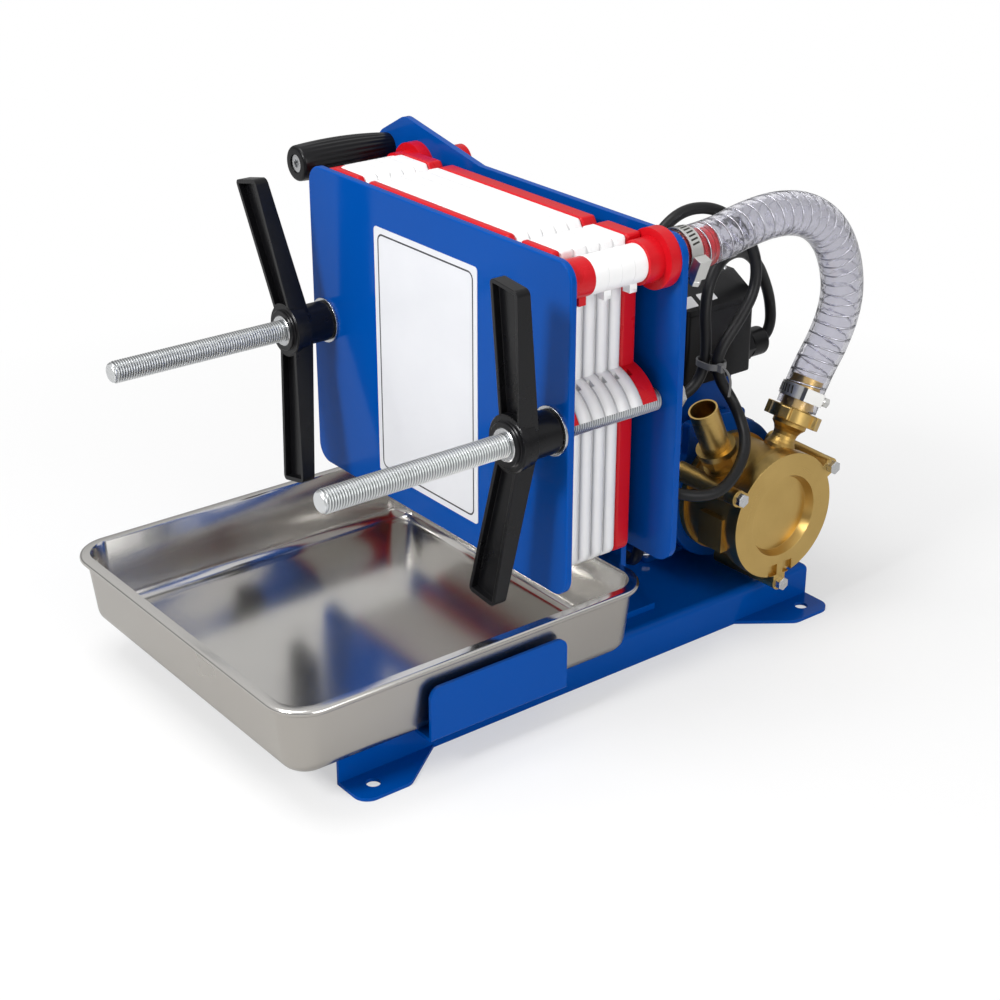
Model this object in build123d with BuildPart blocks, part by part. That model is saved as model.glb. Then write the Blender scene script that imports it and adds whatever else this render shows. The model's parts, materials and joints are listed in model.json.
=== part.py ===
from build123d import *
import math
import os

os.makedirs("parts", exist_ok=True)

# Plate filter press on a folded steel base, with its electric pump behind it.
# Millimetres. X is the width, Y the length with the drip tray towards -Y, Z is up.
# The origin is on the floor, in the middle of the four foot holes.

# Base, folded from one steel sheet
base_length = 432.0
base_width = 244.0
base_height = 28.0
base_sheet = 2.5
base_bend = 6.0
base_end_round = 5.0
foot_hole_d = 10.0
foot_hole_out = 13.0
foot_hole_in = 18.0
foot_reach = 28.0
foot_root = 76.0
foot_flat = 38.0
foot_corner = 11.0
guard_length = 114.0
guard_shift = 13.5
guard_top = 65.5
guard_corner = 8.0
guard_gap = 2.0

# Drip tray, one pressed sheet with a rolled rim
tray_side = 300.0
tray_depth = 54.0
tray_overhang = 52.0
tray_sheet = 1.2
tray_taper = 6.0
tray_corner = 26.0
tray_floor_radius = 11.0
tray_bead = 2.4

# Filter pack: a thin end plate, the filter plates and a thick end plate
plate_count = 5
pack_rear_y = 29.7
front_end_thickness = 6.7
filter_thickness = 11.0
rear_end_thickness = 13.0
plate_gap = 0.14
plate_half_width = 123.0
plate_bottom = 97.0
plate_shoulder = 322.0
plate_crown = 329.0
plate_corner = 8.0
plate_edge_round = 2.2
crown_half_width = 79.0
bump_start_x = 93.5
bump_end_x = 125.5
top_slope = 4.5
top_round = 2.6
port_x = 134.5
port_z = 312.5
port_boss_r = 12.9
port_bore_r = 6.5
rear_boss_r = 15.0
port_flange_r = 20.6
nub_width = 7.0
nub_length = 6.0
nub_bottom = 294.0
hook_top = 237.5
hook_arch_x = 135.2
hook_arch_z = 231.3
hook_tip_x = 146.8
hook_tip_z = 217.5
hook_rest_x = 141.0
hook_rest_z = 214.5
hook_slot_length = 5.5
hook_slot_depth = 3.2
spacer_x = 96.0
spacer_z = 122.0
spacer_r = 11.0
filter_side = 200.0
filter_recess = 2.0
rib_pitch = 12.5
rib_width = 4.0

# The two steel plates that squeeze the pack
steel = 5.0
press_width = 300.0
press_bottom = 94.0
press_top = 328.0
press_corner = 14.0
press_chamfer = 0.8
rear_plate_y = 38.6
rear_width = 312.0
rear_bottom = 95.0
rear_top = 330.0
rear_corner = 15.0
leg_width = 210.0
leg_foot = 30.0
leg_bolt_inset = 25.0
leg_bolt_y = 18.0
leg_bolt_r = 4.3

# Label plate
label_width = 120.0
label_height = 188.0
label_thickness = 0.4
label_corner = 3.0
label_x = -6.0
label_z = 207.5

# Threaded rods and the wing handles on them
rod_d = 16.0
rod_x = 133.0
rod_z = 212.0
rod_front_y = -229.0
rod_rear_y = 62.0
rod_run = 0.3
rod_play = 0.6
rod_chamfer = 1.2
nut_across = 24.0
nut_height = 13.0
washer_d = 34.0
washer_height = 2.0
hub_d = 30.0
hub_length = 24.0
collar_d = 36.0
collar_length = 10.0
collar_set_back = 2.0
arm_reach = 113.0
arm_tip_width = 28.0
arm_root_width = 21.0
arm_tip_depth = 10.0
arm_root_depth = 16.0
arm_tip_round = 4.0
arm_rake = 18.0
arm_wall = 3.0
arm_pocket = 5.0
left_turn = 12.0
right_turn = -6.0

# Carry grip on the ear of the rear plate
grip_x = -175.0
grip_z = 321.0
grip_front_y = -45.0
grip_front_r = 13.2
grip_belly_r = 14.3
grip_rear_r = 10.5
grip_front_round = 2.5
grip_pocket_r = 7.0
grip_pocket_depth = 6.0
ear_r = 14.0
ear_high_x = -151.0
ear_high_z = 334.0
ear_slope_end_x = -60.0
ear_slope_end_r = 5.0
ear_low_z = 285.0
ear_low_r = 8.0
grip_bolt_d = 8.0
grip_bolt_head_r = 6.5
grip_bolt_head = 5.0
grip_bolt_socket = 6.0
grip_bolt_end = 10.0

# Motor behind the press
pump_from_end = 52.0
pump_z = 91.0
motor_front_x = 72.0
motor_rear_x = -78.0
motor_r = 56.0
fin_height = 5.0
fin_width = 2.4
fin_count = 28
pedestal_inset_x = 20.0
pedestal_inset_y = 16.0
shield_r = 55.0
shield_thickness = 8.0
shield_plate_y = -11.0
shield_plate_z = 31.0
shield_plate_width = 58.0
shield_plate_height = 62.0
fan_cover_length = 30.0
fan_cover_extra_r = 2.0
fan_cover_round = 10.0
motor_foot_x = -5.0
motor_foot_length = 104.0
motor_foot_width = 96.0
motor_foot_sheet = 4.0
motor_foot_height = 26.0
motor_rail_spacing = 70.0
motor_rail_width = 12.0

# Terminal box on the motor
box_length = 92.0
box_width = 68.0
box_shift_y = 5.0
box_front_x = 62.0
box_bottom = 172.0
box_body_top = 228.0
box_lid_top = 246.0
box_corner = 4.0
lid_lip = 4.0
lid_bevel = 24.0
lid_patch_length = 44.0
lid_patch_width = 46.0
lid_patch_height = 9.0
gland_x = 48.0
gland_z = 187.0
gland_hex = 7.0
gland_length = 23.0
gland_r = 12.0
gland_cap_r = 11.0

# Pump
cover_face_x = 142.0
cover_thickness = 10.0
cover_r = 48.5
cover_dish_r = 31.5
cover_dish = 6.5
cover_dish_taper = 22.0
cover_pocket = 9.0
cover_pocket_y = 7.5
cover_pocket_z = -43.0
cover_pocket_depth = 3.0
bolt_circle_r = 54.4
bolt_ear_r = 6.3
bolt_neck = 9.0
bolt_shank_r = 3.1
bolt_head_across = 9.0
bolt_head_height = 5.0
column_taper = 1.5
body_r = 44.0
body_rear_flange_r = 46.5
body_rear_flange = 5.0
body_front_flange = 6.0
boss_block_x = 104.0
boss_block_length = 24.0
boss_block_z = 83.0
boss_block_height = 26.0
boss_block_y = -49.0

# Ports of the pump: suction towards the press, discharge away from it
port_plane_x = 110.0
suction_offset = 16.0
suction_tilt = 24.5
discharge_offset = 5.0
discharge_tilt = 28.0
port_boss_start = 10.0
port_boss_end = 44.0
suction_boss_r = 15.0
fitting_bore_r = 9.5
suction_thread = 5.0
suction_thread_r = 11.0
suction_hex = 8.0
suction_hex_r = 11.8
suction_collar = 5.0
suction_collar_r = 14.8
suction_spout = 35.0
suction_spout_r = 10.8
neck_root_r = 12.0
neck_waist_r = 8.8
neck_rim_r = 13.0
neck_length = 16.0
neck_rim = 3.0
neck_bore_r = 6.0
union_height = 10.0
union_r = 18.0
union_lug = 3.0
union_lug_width = 9.0
union_lugs = 4
union_clearance = 0.2
discharge_spout = 25.0
spout_r = 12.1

# Hose tails behind the rear plate
tail_thread_r = 9.0
tail_hole_r = 9.5
tail_flange_r = 14.0
tail_flange = 4.7
tail_r = 12.0
tail_end_y = 80.0
tail_groove = 0.8
tail_step = 5.0

# Clear hose, its clamps and the power cable
hose_outer_d = 31.0
hose_inner_d = 25.0
clamp_strip = 0.9
clamp_clearance = 0.2
clamp_width = 10.0
clamp_housing_depth = 7.0
clamp_housing_length = 15.0
clamp_screw_r = 3.4
clamp_screw_reach = 5.0
lower_clamp_rise = 6.5
lower_screw_angle = -26.0
upper_clamp_y = 51.5
upper_screw_angle = 21.0
cable_d = 8.5
tie_x = 83.9
tie_y = 139.2
tie_z = 197.0
tie_inner_length = 20.4
tie_inner_width = 15.0
tie_inner_corner = 6.6
tie_band = 1.3
tie_height = 4.5
plug_x = 22.0
plug_y = 90.0
plug_z = 47.0
plug_neck_r = 7.0
plug_neck_flare = 14.0
plug_d = 37.0
plug_depth = 18.0
plug_pin_r = 2.4
plug_pin_spacing = 19.0
plug_pin_length = 19.0

# Places that follow from the sizes above
wall_x = base_width / 2
end_y = base_length / 2
foot_hole_x = wall_x + foot_hole_out
foot_hole_y = end_y - foot_hole_in
tray_mid_y = tray_side / 2 - end_y - tray_overhang
guard_mid_y = tray_mid_y + guard_shift
guard_inner_x = tray_side / 2 - 2 * tray_bead + guard_gap
guard_outer_x = guard_inner_x + base_sheet
tray_wall_half = tray_side / 2 - 2 * tray_bead
thicknesses = [front_end_thickness] + plate_count * [filter_thickness] + [rear_end_thickness]
press_back_y = pack_rear_y - sum(thicknesses)
press_front_y = press_back_y - steel
plate_fronts = [press_back_y + sum(thicknesses[:index]) for index in range(plate_count + 2)]
rear_back_y = rear_plate_y + steel
pump_y = end_y - pump_from_end
pump_axis = Axis((0, pump_y, pump_z), (1, 0, 0))
body_back_x = motor_front_x + shield_thickness
body_front_x = cover_face_x - cover_thickness
bolt_angles = (30, 150, 270)
box_mid_x = box_front_x - box_length / 2
box_mid_y = pump_y + box_shift_y
box_rear_y = box_mid_y + box_width / 2
union_start = port_boss_end + neck_length + neck_rim
hose_lift = union_start + union_height + 1.0


def finish(piece, name):
    """Label a finished piece and write it."""
    piece.label = name
    export_step(piece, f"parts/{name}.step")


# Base channel with its feet and tray guards
with BuildPart() as base_channel:
    with BuildSketch(Plane.XZ) as section:
        Rectangle(base_width, base_height, align=(Align.CENTER, Align.MIN))
        fillet(section.vertices().group_by(Axis.Y)[-1], base_bend)
    extrude(amount=base_length / 2, both=True)
    with BuildSketch(Plane.XZ) as hollow:
        Rectangle(base_width - 2 * base_sheet, base_height - base_sheet, align=(Align.CENTER, Align.MIN))
        fillet(hollow.vertices().group_by(Axis.Y)[-1], base_bend - base_sheet)
    extrude(amount=base_length / 2, both=True, mode=Mode.SUBTRACT)
    with BuildSketch(Plane.YZ) as side_view:
        Rectangle(base_length, base_height, align=(Align.CENTER, Align.MIN))
        fillet(side_view.vertices().group_by(Axis.Y)[-1], base_end_round)
    extrude(amount=wall_x, both=True, mode=Mode.INTERSECT)
    with BuildSketch(Plane.XY) as feet:
        for sx in (-1, 1):
            for sy in (-1, 1):
                with BuildLine():
                    Polyline(
                        (sx * (wall_x - base_sheet), sy * end_y),
                        (sx * (wall_x + foot_reach), sy * end_y),
                        (sx * (wall_x + foot_reach), sy * (end_y - foot_flat)),
                        (sx * wall_x, sy * (end_y - foot_root)),
                        (sx * (wall_x - base_sheet), sy * (end_y - foot_root)),
                        close=True,
                    )
                make_face()
        fillet(feet.vertices().filter_by(lambda v: abs(v.X) > wall_x + foot_reach / 2), foot_corner)
    extrude(amount=base_sheet)
    with Locations((0, 0, base_sheet)):
        with GridLocations(2 * foot_hole_x, 2 * foot_hole_y, 2, 2):
            Hole(foot_hole_d / 2, depth=2 * base_sheet)
    for side in (-1, 1):
        with BuildSketch(Plane.XY.offset(base_height - base_sheet)):
            with Locations((side * (wall_x + guard_outer_x - base_bend) / 2, guard_mid_y)):
                Rectangle(guard_outer_x - wall_x + base_bend, guard_length)
        extrude(amount=base_sheet)
        with BuildSketch(Plane.YZ.offset(side * guard_inner_x)) as guard:
            with Locations((guard_mid_y, base_height - base_sheet)):
                guard_height = guard_top - base_height + base_sheet
                Rectangle(guard_length, guard_height, align=(Align.CENTER, Align.MIN))
            fillet(guard.vertices().group_by(Axis.Y)[-1], guard_corner)
        extrude(amount=side * base_sheet)
    fillet(
        base_channel.edges()
        .filter_by(Axis.Y)
        .filter_by(lambda e: abs(abs(e.center().X) - guard_outer_x) < 0.1 and e.center().Z < base_height),
        base_sheet * 0.9,
    )
finish(base_channel.part, "base_channel")

# Drip tray
tray_bottom_z = base_height
tray_rim_z = tray_bottom_z + tray_depth
taper_run = tray_depth * math.tan(math.radians(tray_taper))


def tray_form(inset, height):
    """Solid body of the tray, drawn in by inset from its outer face."""
    side_length = 2 * (tray_wall_half - taper_run - inset)
    with BuildPart() as form:
        with BuildSketch(Plane.XY.offset(tray_bottom_z + inset)):
            with Locations((0, tray_mid_y)):
                RectangleRounded(side_length, side_length, tray_corner - taper_run - inset)
        extrude(amount=height, taper=-tray_taper)
        fillet(form.faces().sort_by(Axis.Z)[0].edges(), tray_floor_radius - inset)
    return form.part


with BuildPart() as drip_tray:
    add(tray_form(0, tray_depth - tray_bead))
    with BuildSketch(Plane.XY.offset(tray_rim_z - 2 * tray_bead)):
        with Locations((0, tray_mid_y)):
            RectangleRounded(tray_side, tray_side, tray_corner + tray_bead)
    extrude(amount=2 * tray_bead)
    rim_edges = drip_tray.edges().filter_by(lambda e: e.center().Z > tray_rim_z - 2.1 * tray_bead)
    outer_edges = rim_edges.filter_by(
        lambda e: max(abs(e.center().X), abs(e.center().Y - tray_mid_y)) > tray_side / 2 - 5 * tray_bead
    )
    fillet(outer_edges, tray_bead * 0.9)
    add(tray_form(tray_sheet, tray_depth), mode=Mode.SUBTRACT)
finish(drip_tray.part, "drip_tray")


def plate_outline():
    """Body of a plate of the pack in the XZ plane, with its crown and the hooks over the rods."""
    bump_foot = plate_crown - plate_shoulder
    with BuildSketch(Plane.XZ) as outline:
        with BuildLine():
            FilletPolyline(
                (0, plate_crown), (crown_half_width, plate_crown),
                (crown_half_width + top_slope, plate_shoulder), (bump_start_x - top_slope, plate_shoulder),
                (bump_start_x, plate_crown), (bump_end_x, plate_crown),
                (bump_end_x, port_z), (plate_half_width, port_z - port_boss_r - bump_foot),
                (plate_half_width, plate_bottom), (0, plate_bottom),
                radius=5 * [top_round] + 2 * [1.0] + [plate_corner],
            )
            Line((0, plate_bottom), (0, plate_crown))
        make_face()
        inner_x = plate_half_width - 1
        with BuildLine():
            ThreePointArc((inner_x, hook_top), (hook_arch_x, hook_arch_z), (hook_tip_x, hook_tip_z))
            Polyline((hook_tip_x, hook_tip_z), (hook_rest_x, hook_rest_z), (rod_x, rod_z), (inner_x, rod_z),
                     (inner_x, hook_top))
        make_face()
        with Locations((rod_x, rod_z)):
            Circle(rod_d / 2 + rod_play, mode=Mode.SUBTRACT)
        mirror(about=Plane.YZ)
    return outline.sketch


def add_block(centres, size, front, back, mode=Mode.ADD):
    """Add a disc of a radius, or a rectangle of two sizes, at each centre, from front to back."""
    with BuildSketch(Plane.XZ.offset(-front)) as block:
        with Locations(*centres):
            if isinstance(size, tuple):
                Rectangle(*size)
            else:
                Circle(size)
    extrude(block.sketch, amount=front - back, mode=mode)


port_centres = [(-port_x, port_z), (port_x, port_z)]


def pack_plate(index, name, ribs, boss, nub_y):
    """One plate of the pack; ribs marks its ribbed faces, boss is the span and radius of its ports."""
    front = plate_fronts[index]
    back = front + thicknesses[index] - plate_gap
    middle = (front + back) / 2
    outline = plate_outline()
    with BuildPart() as plate:
        with BuildSketch(Plane.XZ.offset(-front)):
            add(outline)
        extrude(amount=front - back)
        slot_x = (plate_half_width + hook_arch_x) / 2
        slot_size = (hook_slot_length, 2 * (hook_top - rod_z))
        add_block([(-slot_x, hook_top), (slot_x, hook_top)], slot_size, front, front + hook_slot_depth,
                  Mode.SUBTRACT)
        fillet(
            plate.edges().filter_by(Axis.Z)
            .filter_by(lambda e: e.length > 40 and abs(abs(e.center().X) - plate_half_width) < 0.1),
            plate_edge_round,
        )
        if boss:
            boss_front, boss_back, boss_r = boss
            add_block(port_centres, boss_r, boss_front, boss_back)
            bore_front = max(boss_front, press_back_y + steel)
            add_block(port_centres, port_bore_r, bore_front, boss_back, Mode.SUBTRACT)
        else:
            add_block(port_centres, port_boss_r + rod_play, front, back, Mode.SUBTRACT)
        if nub_y is not None:
            height = port_z - port_boss_r - nub_bottom + top_round
            centres = [(x, nub_bottom + height / 2) for x in (-port_x, port_x)]
            add_block(centres, (nub_width, height), nub_y - nub_length / 2, nub_y + nub_length / 2)
        for wanted, face, inward in ((ribs[0], front, filter_recess), (ribs[1], back, -filter_recess)):
            if wanted:
                with BuildSketch(Plane.XZ.offset(-face)):
                    with Locations((0, rod_z)):
                        Rectangle(filter_side, filter_side)
                        count = int((filter_side - rib_pitch) / rib_pitch)
                        with GridLocations(rib_pitch, 1, count, 1):
                            Rectangle(rib_width, filter_side - 2 * rib_pitch, mode=Mode.SUBTRACT)
                extrude(amount=-inward, mode=Mode.SUBTRACT)
        if index == plate_count + 1:
            add_block(port_centres, port_flange_r, back, rear_plate_y)
            add_block([(-spacer_x, spacer_z), (spacer_x, spacer_z)], spacer_r, back, rear_plate_y)
            add_block(port_centres, port_bore_r, middle, rear_plate_y, Mode.SUBTRACT)
    finish(plate.part, name)


first_boss_end = plate_fronts[2] - plate_gap
pack_plate(0, "end_plate_front", (False, True), (press_back_y, first_boss_end, port_boss_r),
           first_boss_end - nub_length / 2)
for number in range(1, plate_count + 1):
    plate_end = plate_fronts[number + 1] - plate_gap
    own_boss = (plate_fronts[number], plate_end, port_boss_r) if number > 1 else None
    own_nub = plate_end - nub_length / 2 - 1 if number in (3, 5) else None
    pack_plate(number, f"filter_plate_{number}", (True, True), own_boss, own_nub)
rear_end_front = plate_fronts[plate_count + 1]
pack_plate(plate_count + 1, "end_plate_rear", (True, False),
           (rear_end_front, pack_rear_y - plate_gap, rear_boss_r), None)

# Hose tails screwed into the rear end plate, through the rear steel plate
for name, side, steps in (("outlet_tail", -1, 0), ("inlet_tail", 1, 3)):
    flange_start = rear_back_y + 0.3
    barrel_start = flange_start + tail_flange
    profile = [(rear_plate_y, port_bore_r), (rear_plate_y, tail_thread_r), (flange_start, tail_thread_r),
               (flange_start, tail_flange_r), (barrel_start, tail_flange_r), (barrel_start, tail_r)]
    for step in range(steps, 0, -1):
        ridge = tail_end_y - step * tail_step
        profile += [(ridge, tail_r), (ridge, tail_r - tail_groove)]
        profile += [(ridge + tail_groove, tail_r - tail_groove), (ridge + tail_groove, tail_r)]
    profile += [(tail_end_y - tail_groove, tail_r), (tail_end_y, tail_r - tail_groove)]
    profile += [(tail_end_y, port_bore_r)]
    with BuildPart() as tail:
        with BuildSketch(Plane.YZ.offset(side * port_x)):
            with BuildLine():
                Polyline(*[(y, port_z + radius) for y, radius in profile], close=True)
            make_face()
        revolve(axis=Axis((side * port_x, 0, port_z), (0, 1, 0)))
    finish(tail.part, name)

# Rear steel plate: carries the rods, stands on the base and ends in the ear of the grip
with BuildPart() as rear_plate:
    with BuildSketch(Plane.XZ.offset(-rear_plate_y)):
        with Locations((0, (rear_bottom + rear_top) / 2)):
            RectangleRounded(rear_width, rear_top - rear_bottom, rear_corner)
        with Locations((0, base_height)):
            Rectangle(leg_width, rear_bottom - base_height + rear_corner, align=(Align.CENTER, Align.MIN))
        with BuildSketch(Plane.XZ.offset(-rear_plate_y), mode=Mode.PRIVATE) as ear:
            with Locations((grip_x, grip_z), (ear_high_x, ear_high_z)):
                Circle(ear_r)
            with Locations((ear_slope_end_x, rear_top - ear_slope_end_r)):
                Circle(ear_slope_end_r)
            with Locations((ear_low_r - rear_width / 2, ear_low_z)):
                Circle(ear_low_r)
            make_hull()
        add(ear.sketch)
        with Locations(*port_centres):
            Circle(tail_hole_r, mode=Mode.SUBTRACT)
        with Locations((-rod_x, rod_z), (rod_x, rod_z)):
            Circle(rod_d / 2 + 0.05, mode=Mode.SUBTRACT)
        with Locations((grip_x, grip_z)):
            Circle(grip_bolt_d / 2 + 0.2, mode=Mode.SUBTRACT)
    extrude(amount=-steel)
    with BuildSketch(Plane.XY.offset(base_height)):
        with Locations((0, rear_back_y)):
            Rectangle(leg_width, leg_foot, align=(Align.CENTER, Align.MIN))
        with Locations((0, rear_back_y + leg_bolt_y)):
            with GridLocations(leg_width - 2 * leg_bolt_inset, 1, 2, 1):
                Circle(leg_bolt_r, mode=Mode.SUBTRACT)
    extrude(amount=steel)
finish(rear_plate.part, "rear_plate")

# Press plate
with BuildPart() as press_plate:
    with BuildSketch(Plane.XZ.offset(-press_back_y)):
        with Locations((0, (press_bottom + press_top) / 2)):
            RectangleRounded(press_width, press_top - press_bottom, press_corner)
        with Locations((-rod_x, rod_z), (rod_x, rod_z)):
            Circle(rod_d / 2 + rod_play, mode=Mode.SUBTRACT)
    extrude(amount=steel)
    chamfer(press_plate.faces().sort_by(Axis.Y)[0].outer_wire().edges(), press_chamfer)
finish(press_plate.part, "press_plate")

with BuildPart() as label_plate:
    with BuildSketch(Plane.XZ.offset(-press_front_y)):
        with Locations((label_x, label_z)):
            RectangleRounded(label_width, label_height, label_corner)
    extrude(amount=label_thickness)
finish(label_plate.part, "label_plate")

# Rods, their nuts behind the rear plate, and the handles
for name, side in (("left", -1), ("right", 1)):
    with BuildPart() as rod:
        with BuildSketch(Plane.XZ.offset(-rod_rear_y)):
            with Locations((side * rod_x, rod_z)):
                Circle(rod_d / 2)
        extrude(amount=rod_rear_y - rod_front_y)
        chamfer(rod.edges().filter_by(GeomType.CIRCLE), rod_chamfer)
    finish(rod.part, f"threaded_rod_{name}")
    with BuildPart() as rod_nut:
        with BuildSketch(Plane.XZ.offset(-rear_back_y)):
            with Locations((side * rod_x, rod_z)):
                RegularPolygon(nut_across / 2, 6, major_radius=False)
                Circle(rod_d / 2 + 0.05, mode=Mode.SUBTRACT)
        extrude(amount=-nut_height)
    finish(rod_nut.part, f"rod_nut_{name}")
    with BuildPart() as washer:
        with BuildSketch(Plane.XZ.offset(-press_front_y)):
            with Locations((side * rod_x, rod_z)):
                Circle(washer_d / 2)
                Circle(rod_d / 2 + rod_play, mode=Mode.SUBTRACT)
        extrude(amount=washer_height)
    finish(washer.part, f"washer_{name}")


def arm_side(cut):
    """Side view of the two raked arms; cut is the depth kept below their front face, None for all."""
    back_root = arm_root_depth / 2 if cut is None else cut - arm_root_depth / 2
    back_tip = arm_tip_depth / 2 if cut is None else cut - arm_tip_depth / 2
    return [
        (-arm_root_depth / 2, 0),
        (-arm_rake - arm_tip_depth / 2, arm_reach),
        (-arm_rake + back_tip, arm_reach),
        (back_root, 0),
        (-arm_rake + back_tip, -arm_reach),
        (-arm_rake - arm_tip_depth / 2, -arm_reach),
    ]


def arm_front(inset):
    """Front view of the two arms as one outline, drawn in by inset."""
    tip = arm_tip_width / 2 - inset
    root = arm_root_width / 2 - inset
    reach = arm_reach - inset
    return [(-tip, reach), (tip, reach), (root, 0), (tip, -reach), (-tip, -reach), (-root, 0)]


arm_mid_y = press_front_y - washer_height - rod_run - hub_length
for name, side, turn in (("left", -1, left_turn), ("right", 1, right_turn)):
    with BuildPart() as pocket:
        with BuildSketch(Plane.YZ):
            with BuildLine():
                Polyline(*arm_side(arm_pocket), close=True)
            make_face()
        extrude(amount=arm_tip_width, both=True)
        with BuildSketch(Plane.XZ):
            with BuildLine():
                Polyline(*arm_front(arm_wall), close=True)
            make_face()
            Circle(collar_d / 2 + 2, mode=Mode.SUBTRACT)
        extrude(amount=4 * arm_rake, both=True, mode=Mode.INTERSECT)
    with BuildPart() as handle:
        with BuildSketch(Plane.YZ):
            with BuildLine():
                Polyline(*arm_side(None), close=True)
            make_face()
        extrude(amount=arm_tip_width, both=True)
        with BuildSketch(Plane.XZ) as front_view:
            with BuildLine():
                Polyline(*arm_front(0), close=True)
            make_face()
            fillet(front_view.vertices().filter_by(lambda v: abs(v.Y) > arm_reach / 2), arm_tip_round)
        extrude(amount=4 * arm_rake, both=True, mode=Mode.INTERSECT)
        add(pocket.part, mode=Mode.SUBTRACT)
        with BuildSketch(Plane.XZ.offset(-hub_length)):
            Circle(hub_d / 2)
        extrude(amount=hub_length)
        with BuildSketch(Plane.XZ.offset(-collar_set_back)):
            Circle(collar_d / 2)
        extrude(amount=collar_length)
        with BuildSketch(Plane.XZ.offset(-hub_length)):
            Circle(rod_d / 2 + rod_run)
        extrude(amount=4 * hub_length, mode=Mode.SUBTRACT)
    placed = Pos(side * rod_x, arm_mid_y, rod_z) * Rot(0, -turn, 0) * handle.part
    finish(placed, f"wing_handle_{name}")

# Carry grip and the bolt through it
bore_z = grip_z + grip_bolt_d / 2 + 0.1
pocket_y = grip_front_y + grip_pocket_depth
with BuildPart() as carry_grip:
    with BuildSketch(Plane.YZ.offset(grip_x)):
        with BuildLine():
            tip = (grip_front_y, grip_z + grip_front_r)
            belly = (grip_front_y + (rear_plate_y - grip_front_y) * 0.3, grip_z + grip_belly_r)
            rear = (rear_plate_y, grip_z + grip_rear_r)
            ThreePointArc(tip, belly, rear)
            Polyline(rear, (rear_plate_y, bore_z), (pocket_y, bore_z), (pocket_y, grip_z + grip_pocket_r),
                     (grip_front_y, grip_z + grip_pocket_r), tip)
        make_face()
    revolve(axis=Axis((grip_x, 0, grip_z), (0, 1, 0)))
    front_edges = carry_grip.edges().filter_by(GeomType.CIRCLE).sort_by(Axis.Y)[:2]
    fillet(front_edges.sort_by(SortBy.RADIUS)[-1], grip_front_round)
finish(carry_grip.part, "carry_grip")

with BuildPart() as grip_bolt:
    with BuildSketch(Plane.XZ.offset(-pocket_y)):
        with Locations((grip_x, grip_z)):
            Circle(grip_bolt_head_r)
    extrude(amount=grip_bolt_head)
    with BuildSketch(Plane.XZ.offset(-pocket_y)):
        with Locations((grip_x, grip_z)):
            Circle(grip_bolt_d / 2)
    extrude(amount=pocket_y - rear_back_y - grip_bolt_end)
    with BuildSketch(Plane.XZ.offset(grip_bolt_head - pocket_y)):
        with Locations((grip_x, grip_z)):
            RegularPolygon(grip_bolt_socket / 2, 6, major_radius=False)
    extrude(amount=-0.7 * grip_bolt_head, mode=Mode.SUBTRACT)
finish(grip_bolt.part, "grip_bolt")

# Motor: finned body with the pedestal of its box, front shield, fan cover and foot
with BuildPart() as motor_body:
    with BuildSketch(Plane.YZ.offset(motor_rear_x)):
        with Locations((pump_y, pump_z)):
            Circle(motor_r - fin_height)
            with PolarLocations(motor_r - fin_height, fin_count):
                Rectangle(2 * fin_height, fin_width)
    extrude(amount=motor_front_x - motor_rear_x)
    with BuildSketch(Plane.XY.offset(pump_z + motor_r - 2 * fin_height)):
        with Locations((box_mid_x, box_mid_y)):
            RectangleRounded(box_length - pedestal_inset_x, box_width - pedestal_inset_y, box_corner)
    extrude(amount=box_bottom - (pump_z + motor_r - 2 * fin_height))
finish(motor_body.part, "motor_body")

with BuildPart() as motor_shield:
    with BuildSketch(Plane.YZ.offset(motor_front_x)):
        with Locations((pump_y, pump_z)):
            Circle(shield_r)
        with Locations((pump_y + shield_plate_y, pump_z + shield_plate_z)):
            RectangleRounded(shield_plate_width, shield_plate_height, box_corner)
    extrude(amount=shield_thickness)
finish(motor_shield.part, "motor_shield")

with BuildPart() as fan_cover:
    with BuildSketch(Plane.YZ.offset(motor_rear_x)):
        with Locations((pump_y, pump_z)):
            Circle(motor_r + fan_cover_extra_r)
    extrude(amount=-fan_cover_length)
    fillet(fan_cover.faces().sort_by(Axis.X)[0].edges(), fan_cover_round)
finish(fan_cover.part, "fan_cover")

with BuildPart() as motor_foot:
    with BuildSketch(Plane.XY.offset(base_height)):
        with Locations((motor_foot_x, pump_y)):
            RectangleRounded(motor_foot_length, motor_foot_width, box_corner)
    extrude(amount=motor_foot_sheet)
    with BuildSketch(Plane.XY.offset(base_height)):
        with Locations((motor_foot_x, pump_y)):
            with GridLocations(motor_rail_spacing, 1, 2, 1):
                Rectangle(motor_rail_width, motor_rail_spacing)
    extrude(amount=motor_foot_height)
    with BuildSketch(Plane.YZ.offset(motor_rear_x)):
        with Locations((pump_y, pump_z)):
            Circle(motor_r + 0.1)
    extrude(amount=motor_front_x - motor_rear_x, mode=Mode.SUBTRACT)
finish(motor_foot.part, "motor_foot")

# Terminal box, lid and gland
with BuildPart() as terminal_box:
    with BuildSketch(Plane.XY.offset(box_bottom)):
        with Locations((box_mid_x, box_mid_y)):
            RectangleRounded(box_length, box_width, box_corner)
    extrude(amount=box_body_top - box_bottom)
finish(terminal_box.part, "terminal_box")

with BuildPart() as terminal_box_lid:
    with BuildSketch(Plane.XZ.offset(-box_mid_y)):
        with BuildLine():
            Polyline((box_front_x - box_length, box_body_top), (box_front_x, box_body_top),
                     (box_front_x, box_body_top + lid_lip), (box_front_x - lid_bevel, box_lid_top),
                     (box_front_x - box_length, box_lid_top), close=True)
        make_face()
    extrude(amount=box_width / 2, both=True)
    fillet(terminal_box_lid.edges().filter_by(Axis.Z), box_corner - 1)
    with BuildSketch(Plane.XY.offset(box_lid_top)):
        with Locations((box_mid_x, box_mid_y)):
            RectangleRounded(lid_patch_length, lid_patch_width, 2 * box_corner)
    extrude(amount=lid_patch_height, taper=12)
finish(terminal_box_lid.part, "terminal_box_lid")

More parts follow.
